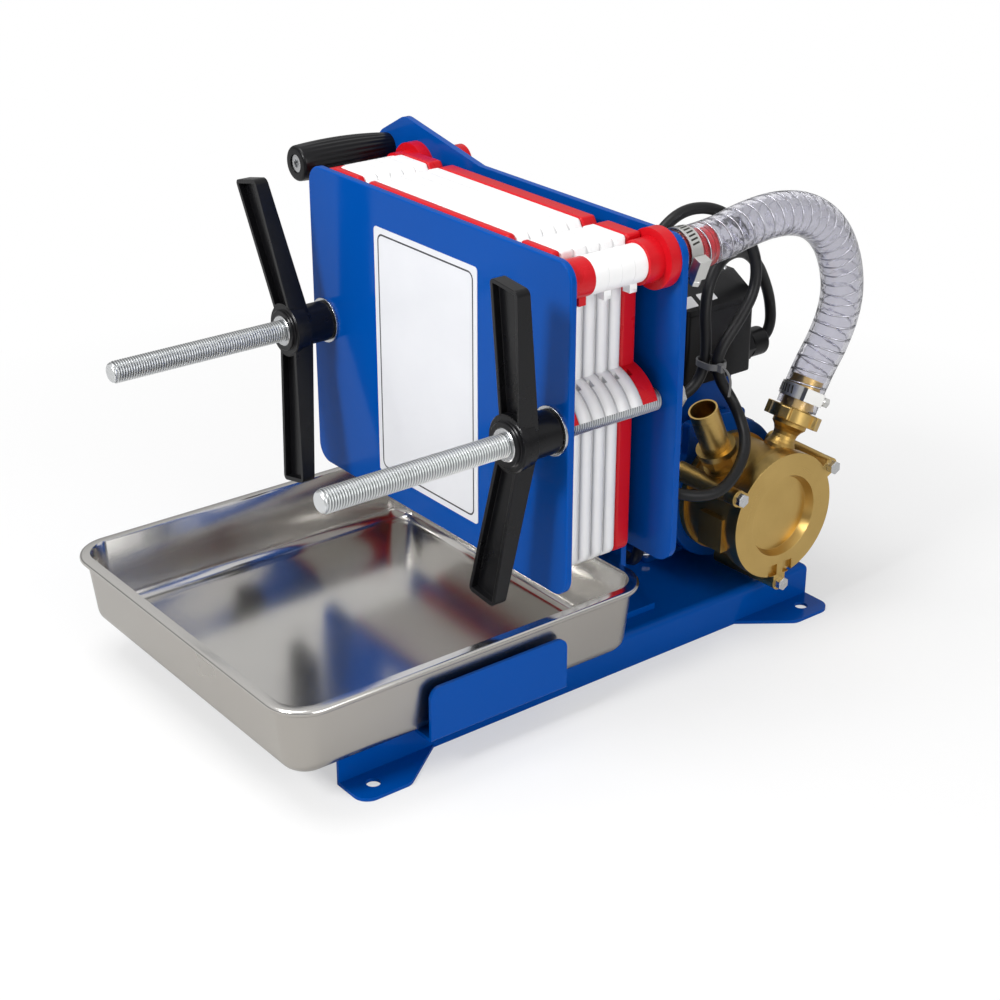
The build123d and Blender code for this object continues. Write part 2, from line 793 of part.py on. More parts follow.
with BuildPart() as cable_gland:
    with BuildSketch(Plane.XZ.offset(-box_rear_y)):
        with Locations((gland_x, gland_z)):
            RegularPolygon(gland_r, 6)
            Circle(cable_d / 2 + rod_play, mode=Mode.SUBTRACT)
    extrude(amount=-gland_hex)
    with BuildSketch(Plane.XZ.offset(-box_rear_y - gland_hex)):
        with Locations((gland_x, gland_z)):
            Circle(gland_cap_r)
            Circle(cable_d / 2 + rod_play, mode=Mode.SUBTRACT)
    extrude(amount=gland_hex - gland_length)
    fillet(cable_gland.faces().sort_by(Axis.Y)[-1].outer_wire().edges(), gland_cap_r / 4)
finish(cable_gland.part, "cable_gland")


# Pump body with its port bosses and bolt columns, and the cover held by three bolts
def port_line(side):
    """Foot and direction of a port; side -1 is suction and 1 discharge."""
    tilt = math.radians(suction_tilt if side < 0 else discharge_tilt)
    offset = suction_offset if side < 0 else discharge_offset
    return (port_plane_x, pump_y + side * offset, pump_z), (0, side * math.sin(tilt), math.cos(tilt))


def port_point(side, distance):
    """Point on the axis of a port, at a distance along it."""
    foot, direction = port_line(side)
    return tuple(foot[i] + direction[i] * distance for i in range(3))


def port_plane(side, distance):
    """Plane square to a port, at a distance along it."""
    return Plane(origin=port_point(side, distance), x_dir=(1, 0, 0), z_dir=port_line(side)[1])


with BuildPart() as pump_body:
    with BuildSketch(Plane.XY.offset(pump_z)):
        with BuildLine():
            Polyline(
                (body_back_x, pump_y), (body_back_x, pump_y + body_rear_flange_r),
                (body_back_x + body_rear_flange, pump_y + body_rear_flange_r),
                (body_back_x + body_rear_flange, pump_y + body_r),
                (body_front_x - body_front_flange, pump_y + body_r),
                (body_front_x - body_front_flange, pump_y + cover_r - 1),
                (body_front_x, pump_y + cover_r - 1),
                (body_front_x, pump_y), close=True,
            )
        make_face()
    revolve(axis=pump_axis)
    with BuildSketch(Plane.YZ.offset(body_front_x)):
        with Locations((pump_y, pump_z)):
            for angle in bolt_angles:
                with PolarLocations(bolt_circle_r, 1, start_angle=angle):
                    Circle(bolt_ear_r)
                with PolarLocations(bolt_circle_r - bolt_neck, 1, start_angle=angle):
                    Rectangle(2 * bolt_neck, bolt_ear_r)
    extrude(amount=body_back_x - body_front_x, taper=-column_taper)
    with BuildSketch(Plane.YZ.offset(boss_block_x)):
        with Locations((pump_y + boss_block_y / 2, boss_block_z)):
            Rectangle(-boss_block_y, boss_block_height)
    extrude(amount=boss_block_length)
    with BuildSketch(port_plane(-1, port_boss_start)):
        Circle(suction_boss_r)
    extrude(amount=port_boss_end - port_boss_start, taper=2)
    with BuildSketch(port_plane(1, port_boss_start)):
        Circle(neck_root_r)
    extrude(amount=port_boss_end - port_boss_start)
    for side in (-1, 1):
        with BuildSketch(port_plane(side, port_boss_end)):
            Circle(neck_bore_r)
        extrude(amount=port_boss_start - port_boss_end, mode=Mode.SUBTRACT)
finish(pump_body.part, "pump_body")

with BuildPart() as pump_cover:
    with BuildSketch(Plane.YZ.offset(body_front_x)):
        with Locations((pump_y, pump_z)):
            Circle(cover_r)
            for angle in bolt_angles:
                with PolarLocations(bolt_circle_r, 1, start_angle=angle):
                    Circle(bolt_ear_r)
                with PolarLocations(bolt_circle_r - bolt_neck, 1, start_angle=angle):
                    Rectangle(2 * bolt_neck, 2 * bolt_ear_r - 1)
            for angle in bolt_angles:
                with PolarLocations(bolt_circle_r, 1, start_angle=angle):
                    Circle(bolt_shank_r + 0.1, mode=Mode.SUBTRACT)
    extrude(amount=cover_thickness)
    with BuildSketch(Plane.YZ.offset(cover_face_x)):
        with Locations((pump_y, pump_z)):
            Circle(cover_dish_r)
    extrude(amount=-cover_dish, mode=Mode.SUBTRACT, taper=cover_dish_taper)
    with BuildSketch(Plane.YZ.offset(cover_face_x)):
        for side in (-1, 1):
            with Locations((pump_y + side * cover_pocket_y, pump_z + cover_pocket_z)):
                Rectangle(cover_pocket, cover_pocket)
    extrude(amount=-cover_pocket_depth, mode=Mode.SUBTRACT)
finish(pump_cover.part, "pump_cover")

with BuildPart() as cover_bolts:
    for radius, height in ((bolt_shank_r, -cover_thickness), (0, bolt_head_height)):
        with BuildSketch(Plane.YZ.offset(cover_face_x)):
            with Locations((pump_y, pump_z)):
                for angle in bolt_angles:
                    with PolarLocations(bolt_circle_r, 1, start_angle=angle):
                        if radius:
                            Circle(radius)
                        else:
                            RegularPolygon(bolt_head_across / 2, 6, major_radius=False)
        extrude(amount=height)
finish(cover_bolts.part, "cover_bolts")


def turned(side, profile):
    """Piece turned round a port: profile lists (distance along it, radius)."""
    foot, direction = port_line(side)
    upright = Plane(origin=foot, x_dir=(1, 0, 0), z_dir=(0, -direction[2], direction[1]))
    with BuildPart() as piece:
        with BuildSketch(upright):
            with BuildLine():
                Polyline(*[(radius, distance) for distance, radius in profile], close=True)
            make_face()
        revolve(axis=Axis(foot, direction))
    return piece.part


hex_start = port_boss_end + suction_thread
collar_start = hex_start + suction_hex
spout_start = collar_start + suction_collar
spout_end = spout_start + suction_spout
with BuildPart() as suction_tail:
    add(turned(-1, [
        (port_boss_end, fitting_bore_r), (port_boss_end, suction_thread_r), (hex_start, suction_thread_r),
        (collar_start, suction_thread_r), (collar_start, suction_collar_r), (spout_start, suction_collar_r),
        (spout_start, suction_spout_r), (spout_end, suction_spout_r), (spout_end, fitting_bore_r),
    ]))
    with BuildSketch(port_plane(-1, hex_start)):
        RegularPolygon(suction_hex_r, 6, major_radius=False)
        Circle(fitting_bore_r, mode=Mode.SUBTRACT)
    extrude(amount=suction_hex)
finish(suction_tail.part, "suction_tail")

neck_end = port_boss_end + neck_length
neck_steps = 6
neck_curve = []
for step in range(neck_steps + 1):
    along = step / neck_steps
    waist = (2 * along - 1) ** 2
    edge = neck_root_r + (neck_rim_r - neck_root_r) * along
    neck_curve.append((port_boss_end + neck_length * along, neck_waist_r + (edge - neck_waist_r) * waist))
neck_profile = [(port_boss_end, neck_bore_r)] + neck_curve
neck_profile += [(union_start, neck_rim_r), (union_start, neck_bore_r)]
finish(turned(1, neck_profile), "discharge_neck")

with BuildPart() as discharge_nut:
    with BuildSketch(port_plane(1, union_start)):
        Circle(union_r)
        with PolarLocations(union_r, union_lugs, start_angle=20):
            Rectangle(2 * union_lug, union_lug_width)
        Circle(neck_rim_r + union_clearance, mode=Mode.SUBTRACT)
    extrude(amount=union_height)
    chamfer(discharge_nut.faces().filter_by(GeomType.PLANE).sort_by(Axis.Z)[-1].outer_wire().edges(), 0.8)
finish(discharge_nut.part, "discharge_nut")

spout_top = union_start + union_height + discharge_spout
finish(turned(1, [
    (union_start, fitting_bore_r), (union_start, neck_rim_r), (union_start + union_height, neck_rim_r),
    (union_start + union_height, spout_r), (spout_top, spout_r), (spout_top, fitting_bore_r),
]), "discharge_tail")

# Clear hose from the discharge tail up and over to the inlet tail
hose_route = [
    port_point(1, hose_lift), port_point(1, spout_top + 4.0), (112.8, 232.5, 208), (116, 238.2, 236),
    (119.5, 230.5, 265), (122.8, 213, 292.5), (126.2, 187, 311), (129.8, 156, 319.8), (132.8, 121, 320.2),
    (port_x, tail_end_y + 2.0, port_z), (port_x, rear_back_y + tail_flange + 1.0, port_z),
]


def route_radii(points):
    """Radius of each corner's arc: 0.45 of the shorter run over the tangent of half the turn."""
    radii = []
    for before, corner, after in zip(points, points[1:], points[2:]):
        first = Vector(*corner) - Vector(*before)
        second = Vector(*after) - Vector(*corner)
        turn = math.radians(first.get_angle(second))
        radii.append(0.45 * min(first.length, second.length) / math.tan(turn / 2))
    return radii


hose_radii = route_radii(hose_route)
with BuildPart() as hose:
    with BuildLine() as hose_line:
        FilletPolyline(*hose_route, radius=hose_radii)
    with BuildSketch(Plane(origin=hose_line.line @ 0, z_dir=hose_line.line % 0)):
        Circle(hose_outer_d / 2)
        Circle(hose_inner_d / 2, mode=Mode.SUBTRACT)
    sweep()
hose_area = math.pi * (hose_outer_d ** 2 - hose_inner_d ** 2) / 4
print("hose length", round(hose_line.wire().length, 1), "volume", round(hose.part.volume),
      "section times length", round(hose_line.wire().length * hose_area))
finish(hose.part, "clear_hose")

# Worm clamps on the two ends of the hose
clamp_r = hose_outer_d / 2 + clamp_clearance + clamp_strip
for name, plane, angle in (
    ("hose_clamp_lower", port_plane(1, hose_lift + lower_clamp_rise), lower_screw_angle),
    ("hose_clamp_upper", Plane(origin=(port_x, upper_clamp_y, port_z), x_dir=(1, 0, 0), z_dir=(0, 1, 0)),
     upper_screw_angle),
):
    middle = plane.offset(clamp_width / 2)
    across = math.radians(angle)
    outward = middle.x_dir * math.cos(across) + middle.y_dir * math.sin(across)
    along = middle.y_dir * math.cos(across) - middle.x_dir * math.sin(across)
    screw_r = clamp_r + clamp_housing_depth / 2 - clamp_strip / 2
    with BuildPart() as clamp:
        with BuildSketch(plane):
            Circle(clamp_r)
            Circle(clamp_r - clamp_strip, mode=Mode.SUBTRACT)
        extrude(amount=clamp_width)
        with BuildSketch(middle):
            with PolarLocations(screw_r, 1, start_angle=angle):
                Rectangle(clamp_housing_depth, clamp_housing_length)
            Circle(clamp_r - clamp_strip, mode=Mode.SUBTRACT)
        extrude(amount=clamp_width / 2, both=True)
        with BuildSketch(Plane(origin=middle.origin + outward * screw_r, z_dir=along)):
            Circle(clamp_screw_r)
        extrude(amount=clamp_housing_length / 2 + clamp_screw_reach)
    finish(clamp.part, name)

# Power cable: out of the gland, over the box, through the tie, behind the rear plate, up and over,
# through the tie again, round the suction tail and down behind the plate to its plug
cable_route = [
    (gland_x, 217.6, gland_z), (gland_x, 229.5, gland_z), (48, 236, 197.5), (48, 234.5, 213),
    (49.5, 228, 229), (53, 213, 252), (58.5, 190.5, 268), (65.5, 163.5, 269.5), (71.5, 145.5, 256.5),
    (75.5, 138.3, 236), (77.5, 139.3, 217), (79, 138.2, 199), (79, 131.5, 184), (78, 116, 175.5),
    (74, 97, 177), (70, 83, 195), (67.5, 77.5, 219), (66, 78, 244), (65, 83, 270), (65, 97, 297),
    (67, 119, 313), (71, 146, 311.5), (77, 167, 297), (83, 180, 273), (86.5, 178, 248), (88.3, 161, 228),
    (89, 144.5, 213), (88.7, 139.3, 199.5), (89.5, 144.5, 185), (94.5, 151.5, 171.5), (106, 150.5, 159.5),
    (121.5, 142, 149), (133.5, 124.5, 137.5), (139, 102, 127), (134.5, 82, 127), (126, 69, 131),
    (113, 63, 127), (105, 62, 110), (99, 64, 88), (89, 69, 66), (72, 79, 52),
    (46, plug_y, plug_z), (plug_x, plug_y, plug_z),
]
cable_radii = route_radii(cable_route)
with BuildPart() as power_cable:
    with BuildLine() as cable_line:
        FilletPolyline(*cable_route, radius=cable_radii)
    with BuildSketch(Plane(origin=cable_line.line @ 0, z_dir=cable_line.line % 0)):
        Circle(cable_d / 2)
    sweep()
print("cable length", round(cable_line.wire().length, 1), "volume", round(power_cable.part.volume),
      "section times length", round(cable_line.wire().length * math.pi * cable_d ** 2 / 4))
finish(power_cable.part, "power_cable")

with BuildPart() as cable_tie:
    with BuildSketch(Plane.XY.offset(tie_z)):
        with Locations((tie_x, tie_y)):
            for band, mode in ((tie_band, Mode.ADD), (0, Mode.SUBTRACT)):
                RectangleRounded(tie_inner_length + 2 * band, tie_inner_width + 2 * band,
                                 tie_inner_corner + band, mode=mode)
    extrude(amount=tie_height)
finish(cable_tie.part, "cable_tie")

with BuildPart() as power_plug:
    with BuildSketch(Plane.YZ.offset(plug_x)):
        with Locations((plug_y, plug_z)):
            Circle(plug_neck_r)
    extrude(amount=-plug_x, taper=-plug_neck_flare)
    with BuildSketch(Plane.YZ):
        with Locations((plug_y, plug_z)):
            Circle(plug_d / 2)
    extrude(amount=-plug_depth)
    with BuildSketch(Plane.YZ.offset(-plug_depth)):
        with Locations((plug_y, plug_z)):
            with GridLocations(1, plug_pin_spacing, 1, 2):
                Circle(plug_pin_r)
    extrude(amount=-plug_pin_length)
finish(power_plug.part, "power_plug")
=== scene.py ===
"""Finishes and fine shapes of a hand-screwed plate filter press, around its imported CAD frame.

Every length is in metres, in the frame of the CAD model: X across the press, Y from the drip tray
towards the pump, Z up, with the origin on the floor in the middle of the four foot holes.
"""

from __future__ import annotations

import json
import logging
import math
from dataclasses import dataclass, field
from enum import Enum
from typing import Callable, Iterable, Sequence

import bmesh
import bpy
from mathutils import Matrix, Vector

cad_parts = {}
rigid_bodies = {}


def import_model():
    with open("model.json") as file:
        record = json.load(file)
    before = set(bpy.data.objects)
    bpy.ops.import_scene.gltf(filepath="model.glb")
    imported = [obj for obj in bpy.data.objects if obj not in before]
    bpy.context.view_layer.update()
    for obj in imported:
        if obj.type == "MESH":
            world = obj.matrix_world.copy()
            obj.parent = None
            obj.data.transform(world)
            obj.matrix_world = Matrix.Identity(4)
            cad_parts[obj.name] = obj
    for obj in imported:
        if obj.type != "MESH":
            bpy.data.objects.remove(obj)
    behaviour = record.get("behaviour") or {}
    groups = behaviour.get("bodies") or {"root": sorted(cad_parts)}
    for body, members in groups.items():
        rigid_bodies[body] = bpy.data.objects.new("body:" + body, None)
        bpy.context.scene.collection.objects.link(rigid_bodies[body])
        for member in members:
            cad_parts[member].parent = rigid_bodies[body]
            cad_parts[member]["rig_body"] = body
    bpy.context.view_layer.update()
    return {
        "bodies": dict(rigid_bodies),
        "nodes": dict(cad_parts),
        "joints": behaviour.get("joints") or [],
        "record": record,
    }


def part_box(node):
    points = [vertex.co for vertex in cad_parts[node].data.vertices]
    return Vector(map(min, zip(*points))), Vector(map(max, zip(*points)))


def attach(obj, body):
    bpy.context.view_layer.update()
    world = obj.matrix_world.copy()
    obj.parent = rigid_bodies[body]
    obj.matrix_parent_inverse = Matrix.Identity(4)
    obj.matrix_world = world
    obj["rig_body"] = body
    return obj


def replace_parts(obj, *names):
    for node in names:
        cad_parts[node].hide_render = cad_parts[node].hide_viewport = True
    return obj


log = logging.getLogger("filter_press")
Point = tuple[float, float, float]
Pair = tuple[float, float]
MM = 0.001


class Slot(Enum):
    """Material slots that the record names."""

    BLUE = "blue_paint"
    MOTOR = "motor_paint"
    STAINLESS = "stainless"
    ZINC = "zinc"
    CLAMP = "clamp_steel"
    BLACK = "black_plastic"
    WHITE = "white_plastic"
    RED = "red_plastic"
    BRASS = "brass"
    FILM = "label_film"
    VINYL = "clear_pvc"
    RUBBER = "black_rubber"


class Side(Enum):
    """Left and right as seen from the drip tray, with the sign of X."""

    LEFT = -1
    RIGHT = 1


@dataclass(frozen=True)
class Signal:
    """One output of a node; arithmetic on it adds Math nodes to its tree."""

    tree: NodeTree
    socket: bpy.types.NodeSocket

    def _math(self, operation: str, *values: float | Signal) -> Signal:
        """Add one Math node on the values and give its result."""
        return self.tree.node("ShaderNodeMath", {"operation": operation}, dict(enumerate(values)))

    def __add__(self, other: float | Signal) -> Signal:
        """Sum."""
        return self._math("ADD", self, other)

    __radd__ = __add__

    def __sub__(self, other: float | Signal) -> Signal:
        """Difference."""
        return self._math("SUBTRACT", self, other)

    def __rsub__(self, other: float | Signal) -> Signal:
        """Difference with the signal on the right."""
        return self._math("SUBTRACT", other, self)

    def __mul__(self, other: float | Signal) -> Signal:
        """Product."""
        return self._math("MULTIPLY", self, other)

    __rmul__ = __mul__

    def __truediv__(self, other: float | Signal) -> Signal:
        """Quotient."""
        return self._math("DIVIDE", self, other)

    def __gt__(self, other: float | Signal) -> Signal:
        """One where the signal is greater, else zero."""
        return self._math("GREATER_THAN", self, other)

    def __lt__(self, other: float | Signal) -> Signal:
        """One where the signal is less, else zero."""
        return self._math("LESS_THAN", self, other)

    def apply(self, operation: str, *values: float | Signal) -> Signal:
        """Any other Math operation, such as SINE or MAXIMUM, with the signal as its first value."""
        return self._math(operation, self, *values)

    def output(self, name: str) -> Signal:
        """Another output of the same node."""
        return Signal(self.tree, self.socket.node.outputs[name])


class NodeTree:
    """A shader or geometry node tree with one method that adds any node."""

    def __init__(self, tree: bpy.types.NodeTree) -> None:
        """Keep the tree that the nodes go to."""
        self.tree = tree

    def node(
        self,
        kind: str,
        settings: dict[str, object] | None = None,
        inputs: dict[int | str, object] | None = None,
    ) -> Signal:
        """Add a node.

        Args:
            kind: The node's type, such as ShaderNodeMath.
            settings: Its settings, set before its sockets; "stops" sets the colour ramp's stops.
            inputs: Values or signals of its sockets, by index or name.

        Returns:
            The node's first output.
        """
        node = self.tree.nodes.new(kind)
        for name, value in (settings or {}).items():
            if name == "stops":
                ramp = node.color_ramp
                while len(ramp.elements) < len(value):
                    ramp.elements.new(0.5)
                for element, (position, colour) in zip(ramp.elements, value):
                    element.position = position
                    element.color = colour
            else:
                setattr(node, name, value)
        for key, value in (inputs or {}).items():
            if isinstance(value, Signal):
                self.tree.links.new(value.socket, node.inputs[key])
            else:
                node.inputs[key].default_value = value
        return Signal(self, node.outputs[0]) if node.outputs else Signal(self, node.inputs[0])


def grey(value: float) -> tuple[float, float, float, float]:
    """Opaque grey of that linear value."""
    return (value, value, value, 1.0)


class Surface(NodeTree):
    """Shader tree of one material, with its Object coordinates at hand."""

    def __init__(self, name: str) -> None:
        """Make an empty material of that name."""
        self.material = bpy.data.materials.new(name)
        self.material.use_nodes = True
        super().__init__(self.material.node_tree)
        self.tree.nodes.clear()
        self.place = self.node("ShaderNodeTexCoord").output("Object")

    def axes(self) -> tuple[Signal, Signal, Signal]:
        """The X, Y and Z of the Object coordinates."""
        split = self.node("ShaderNodeSeparateXYZ", inputs={0: self.place})
        return split, split.output("Y"), split.output("Z")

    def stretched(self, scale: Point) -> Signal:
        """Object coordinates multiplied by a scale along each axis."""
        return self.node("ShaderNodeMapping", inputs={"Vector": self.place, "Scale": scale})

    def noise(self, scale: float, detail: float = 3.0, at: Signal | None = None,
              rough: float = 0.5) -> Signal:
        """Noise from 0 to 1 at a scale in waves a metre."""
        values = {"Vector": at or self.place, "Scale": scale, "Detail": detail, "Roughness": rough}
        return self.node("ShaderNodeTexNoise", inputs=values)

    def line_noise(self, distance: Signal, scale: float) -> Signal:
        """Noise from 0 to 1 that changes along one distance only."""
        values = {"W": distance, "Scale": scale, "Detail": 3.0}
        return self.node("ShaderNodeTexNoise", {"noise_dimensions": "1D"}, values)

    def from_axis(self, centre: Point, axis: Point) -> tuple[Signal, Signal]:
        """Distance along an axis, and square to it.

        Args:
            centre: A point on the axis.
            axis: Its direction, of length 1.

        Returns:
            The two distances.
        """
        offset = self.node("ShaderNodeVectorMath", {"operation": "SUBTRACT"}, {0: self.place, 1: centre})
        product = self.node("ShaderNodeVectorMath", {"operation": "DOT_PRODUCT"}, {0: offset, 1: axis})
        along = product.output("Value")
        length = self.node("ShaderNodeVectorMath", {"operation": "LENGTH"}, {0: offset}).output("Value")
        return along, (length * length - along * along).apply("MAXIMUM", 0.0).apply("SQRT")

    def between(self, factor: Signal, low: float, high: float) -> Signal:
        """Number that goes from low to high with the factor."""
        return factor * (high - low) + low

    def tint(self, factor: Signal, first: Sequence[float], second: Sequence[float]) -> Signal:
        """Colour that goes from the first to the second with the factor."""
        mix = self.tree.nodes.new("ShaderNodeMix")
        mix.data_type = "RGBA"
        self.tree.links.new(factor.socket, mix.inputs[0])
        for slot, colour in ((6, first), (7, second)):
            if isinstance(colour, Signal):
                self.tree.links.new(colour.socket, mix.inputs[slot])
            else:
                mix.inputs[slot].default_value = (*colour[:3], 1.0)
        return Signal(self, mix.outputs[2])

    def bump(self, height: Signal, distance: float, strength: float = 1.0) -> Signal:
        """Normal bumped by a height that stands for the distance."""
        values = {"Height": height, "Distance": distance, "Strength": strength}
        return self.node("ShaderNodeBump", inputs=values)

    def finish(self, **values: object) -> bpy.types.Material:
        """Close the material with one principled shader.

        Args:
            values: Sockets of the shader, with underscores for the spaces in their names.

        Returns:
            The finished material.
        """
        inputs = {name.replace("_", " "): value for name, value in values.items()}
        shader = self.node("ShaderNodeBsdfPrincipled", inputs=inputs)
        self.node("ShaderNodeOutputMaterial", inputs={"Surface": shader})
        return self.material


@dataclass(frozen=True)
class Finish:
    """A surface finish: its name and the slot that it takes in the record."""

    name: str
    slot: Slot

    def build(self) -> bpy.types.Material:
        """Make the material; each kind of finish has its own."""
        raise NotImplementedError

    def material(self) -> bpy.types.Material:
        """The material, made once and then reused."""
        return bpy.data.materials.get(self.name) or self.build()

    def dress(self, piece: bpy.types.Object) -> None:
        """Give a new piece this finish alone."""
        piece.data.materials.clear()
        piece.data.materials.append(self.material())


@dataclass(frozen=True)
class GlossPaint(Finish):
    """Powder coat with a faint orange peel."""

    colour: Point = (0.0, 0.072, 0.37)
    roughness: float = 0.13
    peel: float = 0.00002

    def build(self) -> bpy.types.Material:
        """Coat over an even colour, with peel in the normal."""
        surface = Surface(self.name)
        cloud = surface.noise(9.0, 2.0)
        deeper = tuple(0.86 * channel for channel in self.colour)
        peel = surface.noise(420.0, 1.0)
        return surface.finish(
            Base_Color=surface.tint(cloud, deeper, self.colour),
            Roughness=surface.between(surface.noise(60.0, 4.0), self.roughness - 0.05,
                                      self.roughness + 0.05),
            Specular_IOR_Level=0.09,
            Coat_Weight=0.03,
            Coat_Roughness=0.04,
            Normal=surface.bump(peel, self.peel),
        )


@dataclass(frozen=True)
class BareMetal(Finish):
    """Bright metal with fine lines along one axis and a slightly uneven sheen."""

    colour: Point = (0.62, 0.63, 0.64)
    roughness: float = 0.26
    lines: Point = (1.0, 1.0, 1.0)
    line_scale: float = 400.0
    line_depth: float = 0.000003

    def build(self) -> bpy.types.Material:
        """Stretched noise drives both the lines and the sheen."""
        surface = Surface(self.name)
        grain = surface.noise(self.line_scale, 3.0, surface.stretched(self.lines))
        cloud = surface.noise(22.0, 3.0)
        duller = tuple(0.9 * channel for channel in self.colour)
        return surface.finish(
            Base_Color=surface.tint(cloud, duller, self.colour),
            Metallic=1.0,
            Roughness=surface.between(grain, self.roughness - 0.06, self.roughness + 0.06),
            Normal=surface.bump(grain, self.line_depth),
        )


@dataclass(frozen=True)
class RolledThread(Finish):
    """Zinc-plated thread, with painted shade that darkens it towards its root."""

    colour: Point = (0.74, 0.755, 0.76)
    shaded_root_colour: Point = (0.17, 0.18, 0.185)
    roughness: float = 0.3
    depth_name: str = "thread_depth"

    def build(self) -> bpy.types.Material:
        """The piece's own attribute gives the depth: 0 on the crests and 1 at the root."""
        surface = Surface(self.name)
        depth = surface.node("ShaderNodeAttribute", {"attribute_name": self.depth_name}).output("Fac")
        # Painted shade: the colour darkens from the flanks into the thread's root, where shade falls.
        dull = ((depth - 0.3) * 1.7).apply("MAXIMUM", 0.0).apply("MINIMUM", 1.0)
        cloud = surface.noise(40.0, 3.0)
        return surface.finish(
            Base_Color=surface.tint(dull, self.colour, self.shaded_root_colour),
            Metallic=1.0,
            Roughness=surface.between(cloud, self.roughness - 0.05, self.roughness + 0.1),
        )


@dataclass(frozen=True)
class PressedStainless(Finish):
    """Stainless sheet: satin outside and nearly a mirror inside, with painted shade making its outside
    darker.
    """

    colour: Point = (0.64, 0.625, 0.6)
    shaded_outer_colour: Point = (0.47, 0.445, 0.41)
    satin: float = 0.24
    mirror: float = 0.1
    outside: str = "outside"

    def build(self) -> bpy.types.Material:
        """The piece's own attribute tells outside from inside; slow waves come from the press."""
        surface = Surface(self.name)
        outside = surface.node("ShaderNodeAttribute", {"attribute_name": self.outside}).output("Fac")
        lines = surface.noise(700.0, 2.0, surface.stretched((0.04, 0.04, 1.0)))
        cloud = surface.noise(14.0, 4.0)
        height = surface.noise(11.0, 1.0) + lines * 0.02
        dull = surface.between(cloud, self.mirror, self.satin)
        # Painted shade: the outside of the sheet takes a darker copy of the same steel colour.
        return surface.finish(
            Base_Color=surface.tint(outside, self.colour, self.shaded_outer_colour),
            Metallic=1.0,
            Roughness=dull + outside * 0.08,
            Normal=surface.bump(height, 0.0006),
        )


@dataclass(frozen=True)
class MouldedPlastic(Finish):
    """Injection-moulded plastic with a fine grain."""

    colour: Point = (0.8, 0.8, 0.8)
    roughness: float = 0.35
    grain: float = 0.00003
    grain_scale: float = 900.0
    shine: float = 0.25

    def build(self) -> bpy.types.Material:
        """Even colour, with grain in the sheen and the normal."""
        surface = Surface(self.name)
        grain = surface.noise(self.grain_scale, 2.0)
        cloud = surface.noise(30.0, 3.0)
        deeper = tuple(0.9 * channel for channel in self.colour)
        return surface.finish(
            Base_Color=surface.tint(cloud, deeper, self.colour),
            Roughness=surface.between(cloud, self.roughness - 0.05, self.roughness + 0.07),
            Specular_IOR_Level=self.shine,
            Normal=surface.bump(grain, self.grain),
        )


@dataclass(frozen=True)
class PlateMoulding(Finish):
    """White moulding of a stack of plates, whose edges read as a row of soft columns."""

    colour: Point = (0.93, 0.93, 0.93)
    roughness: float = 0.34
    first_joint: float = -38.3 * MM
    pitch: float = 11.0 * MM
    swell: float = 2.6 * MM
    side: float = 121.8 * MM
    shoulder: float = 296.0 * MM

    def build(self) -> bpy.types.Material:
        """The normal swells across each plate's edge, below its shoulders, and painted shade greys the
        grooves between the plates.
        """
        surface = Surface(self.name)
        x, y, z = surface.axes()
        across = ((y - self.first_joint) / self.pitch).apply("FRACT") * 2 - 1
        edge = (x.apply("ABSOLUTE") > self.side) * (z < self.shoulder)
        column = (1 - across * across) * edge
        # Painted shade: a grey band along each joint between plates, on their side faces, darkens the groove
        # where shade falls.
        groove_shade = (across.apply("ABSOLUTE") > 0.86) * edge
        cloud = surface.noise(30.0, 3.0)
        clean = surface.tint(cloud, tuple(0.94 * channel for channel in self.colour), self.colour)
        return surface.finish(
            Base_Color=surface.tint(groove_shade * 0.5, clean, (0.4, 0.4, 0.42)),
            Roughness=surface.between(cloud, self.roughness - 0.05, self.roughness + 0.07),
            Specular_IOR_Level=0.3,
            Normal=surface.bump(column, self.swell),
        )


@dataclass(frozen=True)
class CastBrass(Finish):
    """Sand-cast brass."""

    colour: Point = (0.66, 0.45, 0.14)
    roughness: float = 0.42
    pits: float = 0.00025
    pit_scale: float = 300.0

    def build(self) -> bpy.types.Material:
        """Pitted skin over a warm metal that is darker in places."""
        surface = Surface(self.name)
        pits = surface.noise(self.pit_scale, 4.0)
        cloud = surface.noise(26.0, 4.0)
        darker = (0.62 * self.colour[0], 0.55 * self.colour[1], 0.5 * self.colour[2])
        patches = cloud.apply("SMOOTH_MIN", 0.62, 0.1)
        return surface.finish(
            Base_Color=surface.tint(patches, darker, self.colour),
            Metallic=1.0,
            Roughness=surface.between(cloud, self.roughness - 0.1, self.roughness + 0.1),
            Normal=surface.bump(pits, self.pits),
        )


@dataclass(frozen=True)
class LatheBrass(Finish):
    """Brass cut on a lathe, with fine lines round its axis; faced lines are rings on a flat face."""

    centre: Point = (0.0, 0.0, 0.0)
    axis: Point = (0.0, 0.0, 1.0)
    faced: bool = False
    colour: Point = (0.67, 0.465, 0.165)
    roughness: float = 0.3
    line_scale: float = 1500.0
    line_depth: float = 0.00003
    barb_pitch: float = 0.0
    barb_depth: float = 0.9 * MM

    def build(self) -> bpy.types.Material:
        """Lines follow the distance along the axis, or the distance from it; barbs step along it."""
        surface = Surface(self.name)
        reach = surface.from_axis(self.centre, self.axis)[int(self.faced)]
        lines = surface.line_noise(reach, self.line_scale)
        cloud = surface.noise(30.0, 4.0)
        height = lines + surface.noise(240.0, 3.0) * 0.6
        if self.barb_pitch:
            height = height + (reach / self.barb_pitch).apply("FRACT") * (self.barb_depth / self.line_depth)
        darker = (0.72 * self.colour[0], 0.68 * self.colour[1], 0.6 * self.colour[2])
        return surface.finish(
            Base_Color=surface.tint(cloud, darker, self.colour),
            Metallic=1.0,
            Roughness=surface.between(lines * 0.5 + cloud * 0.5, self.roughness - 0.1,
                                      self.roughness + 0.12),
            Normal=surface.bump(height, self.line_depth),
        )


